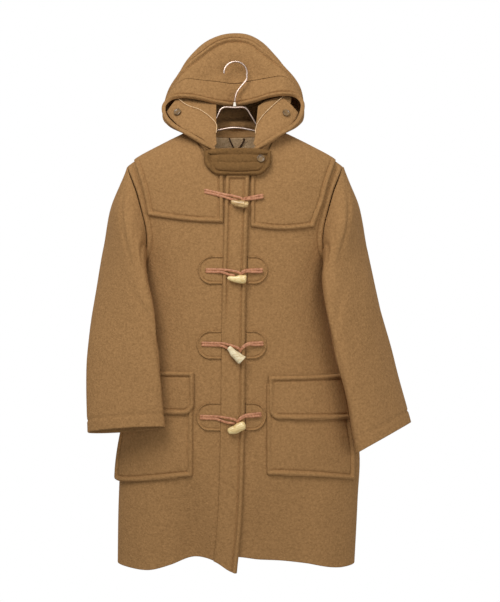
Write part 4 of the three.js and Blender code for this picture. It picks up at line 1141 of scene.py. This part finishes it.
def throat_flap():
    middle = (FLAP_RIGHT_X + FLAP_LEFT_X) / 2
    half = (FLAP_RIGHT_X - FLAP_LEFT_X) / 2

    def surface(u, v):
        out = np.abs(2 * u - 1)
        rounding = np.maximum(out - FLAP_CORNER_FROM, 0) / (1 - FLAP_CORNER_FROM)
        cut = FLAP_CORNER_CUT * rounding**FLAP_CORNER_POWER
        droop = FLAP_DROOP * out**3
        z = FLAP_TOP_Z - droop - v * (FLAP_TOP_Z - FLAP_BOTTOM_Z - cut - droop)
        p = body_point(middle + (2 * u - 1) * half, z, -1)
        from_middle = p[..., 0] - FLAP_FOLDS_X
        down = p[..., 2] - FLAP_TOP_Z + FLAP_FOLD_SAG * (1 - (from_middle / half) ** 2)
        for place, width, out_by in FLAP_FOLDS:
            fold = np.exp(-((down - place) / width) ** 2 - (from_middle / FLAP_FOLD_REACH) ** 2)
            p[..., 1] -= out_by * fold
        return p

    # The flap wears the darker copy of the camel wool: painted shade from the hood's lips above it
    cloth("throat_flap", surface, graded(150, 2.5), graded(56, 2.2), ["hood_band"], out=FLAP_GAP,
          thick=FLAP_CLOTH, turned=True, stitched=("top", "start", "end", "bottom"),
          material="painted_shade_wool")
    seat = body_point(*THROAT_BUTTON, -1)
    seat[1] -= FLAP_GAP + FLAP_CLOTH + BUTTON_LIFT
    button("throat_button", seat, THROAT_BUTTON_FACES)


def lathe(profile, sides):
    """Points and quads of a turned solid about Z from (radius, height) pairs."""
    turns = np.linspace(0, 2 * math.pi, sides, endpoint=False)
    radius, height = np.array(profile, float).T
    x = radius[:, None] * np.cos(turns)
    y = radius[:, None] * np.sin(turns)
    points = np.stack([x, y, np.broadcast_to(height[:, None], x.shape)], -1).reshape(-1, 3)
    return points, grid_faces(len(radius), sides)


def aim(direction):
    """Rotation that turns +Z to a direction."""
    z = np.asarray(direction, float) / np.linalg.norm(direction)
    x = np.cross([0, 0, 1.0], z) if abs(z[2]) < 0.99 else np.array([1.0, 0, 0])
    x /= np.linalg.norm(x)
    return np.stack([x, np.cross(z, x), z], -1)


def button(name, seat, direction):
    """A turned button with four knots of thread in its hollow."""
    profile = [(max(BUTTON_RADIUS * r, TIP), BUTTON_HEIGHT * h) for r, h in BUTTON_PROFILE]
    points, faces = lathe(profile, 40)
    piece = new_object(name + "_turned", points @ aim(direction).T + seat, faces, "dark_horn")
    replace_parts(piece, name)
    knot_points = []
    knot_faces = []
    for k in range(4):
        angle = math.radians(45 + 90 * k)
        x, y = KNOT_REACH * math.cos(angle), KNOT_REACH * math.sin(angle)
        spot, quads = lathe(KNOT_PROFILE, 10)
        knot_faces.append(quads + len(spot) * k)
        knot_points.append(spot + [x, y, BUTTON_HEIGHT * KNOT_SEAT])
    knots = np.concatenate(knot_points) @ aim(direction).T + seat
    new_object(name + "_thread", knots, np.concatenate(knot_faces), "thread")


def neck_facing():
    def surface(u, v):
        x = (2 * u - 1) * FACING_HALF_WIDTH
        top = value_at(BACK_NECK, "z", "x", np.abs(x)) - 1
        round_part = np.sqrt(1 - FACING_ROUNDING * (2 * u - 1) ** 2)
        return back_point(x, lerp(top, top - FACING_DROP * round_part, v))

    # Its pale cloth is partly the facing's own tone and partly painted light, lifting it out of the shade
    # under the flap and lips
    cloth("neck_facing", surface, graded(150, 3), graded(58, 3), ["back"], out=-FACING_BEHIND,
          thick=LINING, material="facing_cloth", held="laid")


# Cords, straps and toggles

def tube(name, route, radius, material, steps, sides, braid=0.0, flat=1.0):
    """A rod along a smooth route, with rounded ends; braid swells it in a twist, flat thins it."""
    path = curve(route, np.linspace(0, 1, steps))
    tangent = np.gradient(path, axis=0)
    tangent /= np.linalg.norm(tangent, axis=1, keepdims=True)
    side = np.cross(tangent, [0.05, 1.0, 0.02])
    side /= np.linalg.norm(side, axis=1, keepdims=True)
    up = np.cross(side, tangent)
    along = np.linspace(0, 1, steps)
    ends = np.minimum(along, 1 - along) * np.linalg.norm(np.diff(path, axis=0), axis=1).sum()
    size = radius * np.maximum(np.sqrt(1 - (1 - np.clip(ends / radius, 0, 1)) ** 2), 0.05)
    angle = np.linspace(0, 2 * math.pi, sides, endpoint=False)
    swell = 1 + braid * np.sin(2 * angle[None] + along[:, None] * steps * 0.9)
    ring = size[:, None] * swell
    points = (
        path[:, None]
        + ring[..., None] * np.cos(angle)[None, :, None] * side[:, None]
        + flat * ring[..., None] * np.sin(angle)[None, :, None] * up[:, None]
    )
    return new_object(name, points.reshape(-1, 3), grid_faces(steps, sides), material)


def thong(name, fastening, places):
    """A flat leather cord through places of x, z and lift above the layers that it lies on."""
    base = THONG_HEIGHT + (0 if fastening["patches"] else YOKE_GAP)
    route = []
    for x, z, lift in places:
        climb, descent = (smooth((x - start) / over) for start, over in (THONG_CLIMB, THONG_DESCENT))
        height = base + PLACKET_RISE * (climb - descent) + lift
        route.append(body_point(x, z, -1) - np.array([0, height, 0]))
    return tube(name, route, THONG_HALF, "leather", 70, 14, flat=THONG_FLATNESS)


def straps(number, fastening):
    """The loop, whose two thongs part and go round the toggle, and the tab that holds the toggle."""
    (x0, z0), (x1, z1) = fastening["loop"]
    over_x, over_z = fastening["over"]
    tab_in_x, tab_in_z, tab_x, tab_z = fastening["tab"]
    toggle_x, toggle_z = fastening["toggle"]
    w = THONG_HALF
    upper = [
        (x0, z0 + w, 0), ((x0 + x1) / 2, (z0 + z1) / 2 + w, 0), (x1, z1 + w, 0.3),
        ((x1 + over_x) / 2, (z1 + over_z) / 2 + w * 1.2, 2.2), (over_x, over_z + 0.5, 5.5),
        (over_x + 2, over_z - 5, 3.5), (over_x, over_z - 9, -1),
    ]
    lower = [
        (x0, z0 - w, 0), ((x0 + x1) / 2, (z0 + z1) / 2 - w, 0), (x1, z1 - w * 1.1, 0.3),
        (lerp(x1, toggle_x, 0.5), lerp(z1 - w, toggle_z, 0.3) - 1, 0.8),
        (toggle_x - 4, lerp(z1, toggle_z, 0.55), 0.4),
    ]
    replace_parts(thong(f"loop_{number}_upper", fastening, upper), f"loop_{number}")
    thong(f"loop_{number}_lower", fastening, lower)
    for side in (1, -1):
        route = [
            (tab_x, tab_z + side * w, 0),
            ((tab_x + tab_in_x) / 2, (tab_z + tab_in_z) / 2 + side * w, 0),
            (tab_in_x, tab_in_z + side * w * 0.6, 0.8),
            (lerp(tab_in_x, over_x, 0.6), lerp(tab_in_z, over_z, 0.7) + side, 3.5),
            (over_x + 1 + side, over_z - 6, 1.5),
        ]
        piece = thong(f"tab_{number}_{'upper' if side > 0 else 'lower'}", fastening, route)
        if side > 0:
            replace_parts(piece, f"tab_{number}")


def toggle(name, fastening):
    half, r = fastening["length"] / 2, fastening["radius"]
    places, sizes = zip(*fastening["shape"])
    stations = np.sin(np.linspace(-1, 1, TOGGLE_ROWS) * math.pi / 2)
    profile = list(zip(r * np.interp(stations, places, sizes), half * stations))
    points, faces = lathe(profile, TOGGLE_SIDES)
    points[:TOGGLE_SIDES, :2] *= TOGGLE_END_SHARE
    points[-TOGGLE_SIDES:, :2] *= TOGGLE_END_SHARE
    bow = TOGGLE_BOW * (points[:, 2] / half) ** 2 - TOGGLE_SET_IN
    points[:, 0] += bow + TOGGLE_RIPPLE * np.sin(points[:, 2] / TOGGLE_RIPPLE_LENGTH)
    points[:, 1] *= TOGGLE_FLATNESS
    tilt = math.radians(fastening["tilt"])
    along = np.array([math.cos(tilt), 0, -math.sin(tilt)])
    across = np.array([math.sin(tilt), 0, math.cos(tilt)])
    rotation = np.stack([across, np.cross(along, across), along], -1)
    x, z = fastening["toggle"]
    seat = body_point(x, z, -1)
    seat[1] -= THONG_HEIGHT + fastening["lift"] + TOGGLE_FLATNESS * r
    piece = new_object(name + "_carved", points @ rotation.T + seat, faces, fastening["horn"])
    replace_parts(piece, name)


def fastenings():
    for i, fastening in enumerate(FASTENINGS, 1):
        if fastening["patches"]:
            patch("left", i, fastening)
            patch("right", i, fastening)
        straps(i, fastening)
        toggle(f"toggle_{i}", fastening)


def hanging_loop():
    route = np.array([back_point(x, z) for x, z in LOOP_ROUTE])
    route[:, 1] -= FACING_BEHIND + LAYER_GAP + LOOP_RADIUS + LOOP_CLEARANCE
    piece = tube("hanging_loop_braid", route, LOOP_RADIUS, "braid", 90, 12, LOOP_TWIST)
    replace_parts(piece, "hanging_loop")


def hanger():
    x, z, r = HOOK_MIDDLE_X, WIRE_RADIUS - HOOK_RADIUS, HOOK_RADIUS
    turns = np.radians(np.linspace(*HOOK_ANGLES, 13))
    hook = [(x + r * math.cos(turn), z + r * math.sin(turn)) for turn in turns]
    arms = ARM_MIDDLE + [(x, float(ridge(x)) - ARM_BELOW_RIDGE) for x in ARM_SEATS]
    wires = {
        "hanger_hook": hook + HOOK_TAIL,
        "hanger_frame": FRAME_ROUTE,
        "hanger_arms": [(-x, z) for x, z in reversed(arms[1:])] + arms,
    }
    for name, places in wires.items():
        route = [(x, 0, z) for x, z in places]
        piece = tube(name + "_wire", route, WIRE_RADIUS + WIRE_PLATING, "hanger_steel", 160, 16)
        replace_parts(piece, name)


def finish_cad_pieces():
    """The collar keeps its solid and gets its material."""
    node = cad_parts["hanger_collar"]
    node.data.materials.clear()
    node.data.materials.append(MATERIALS["white_collar"])


# Light and camera

def light(name, at, aim_at, size, power):
    data = bpy.data.lights.new(name, "AREA")
    data.shape = "DISK"
    data.size = size
    data.energy = power
    lamp = bpy.data.objects.new(name, data)
    direction = np.array(aim_at, float) - np.array(at, float)
    lamp.location = at
    down = math.acos(-direction[2] / np.linalg.norm(direction))
    lamp.rotation_euler = (down, 0, math.atan2(direction[1], direction[0]) - math.pi / 2)
    bpy.context.scene.collection.objects.link(lamp)


def studio_world(world):
    """White behind the coat, and a dimmer room on the camera's side of it."""
    tree = world.node_tree
    place = tree.nodes.new("ShaderNodeTexCoord")
    split = tree.nodes.new("ShaderNodeSeparateXYZ")
    ramp = tree.nodes.new("ShaderNodeValToRGB")
    two_tones(ramp, ROOM_EDGES, ROOM_COLOR, WHITE)
    tree.links.new(place.outputs["Generated"], split.inputs["Vector"])
    tree.links.new(split.outputs["Y"], ramp.inputs["Fac"])
    tree.links.new(ramp.outputs["Color"], tree.nodes["Background"].inputs["Color"])


def lights_and_camera():
    scene = bpy.context.scene
    scene.world = bpy.data.worlds.new("studio")
    scene.world.use_nodes = True
    studio_world(scene.world)
    for name, values in LIGHTS.items():
        light(name, **values)
    scene.view_settings.view_transform = "Standard"
    camera = bpy.data.cameras.new("camera")
    camera.sensor_fit = "VERTICAL"
    camera.sensor_height = CAMERA_SENSOR
    camera.lens = CAMERA_SENSOR * -CAMERA_AT[1] / CAMERA_VIEW_HEIGHT
    holder = bpy.data.objects.new("camera", camera)
    holder.location = CAMERA_AT
    holder.rotation_euler = (math.pi / 2, 0, 0)
    scene.collection.objects.link(holder)
    scene.camera = holder


lights_and_camera()
back()
for make in (front, sleeve, yoke_front):
    make("left")
    make("right")
yoke_back()
placket()
fastenings()
pockets()
hood()
throat_flap()
neck_facing()
hanging_loop()
hanger()
finish_cad_pieces()
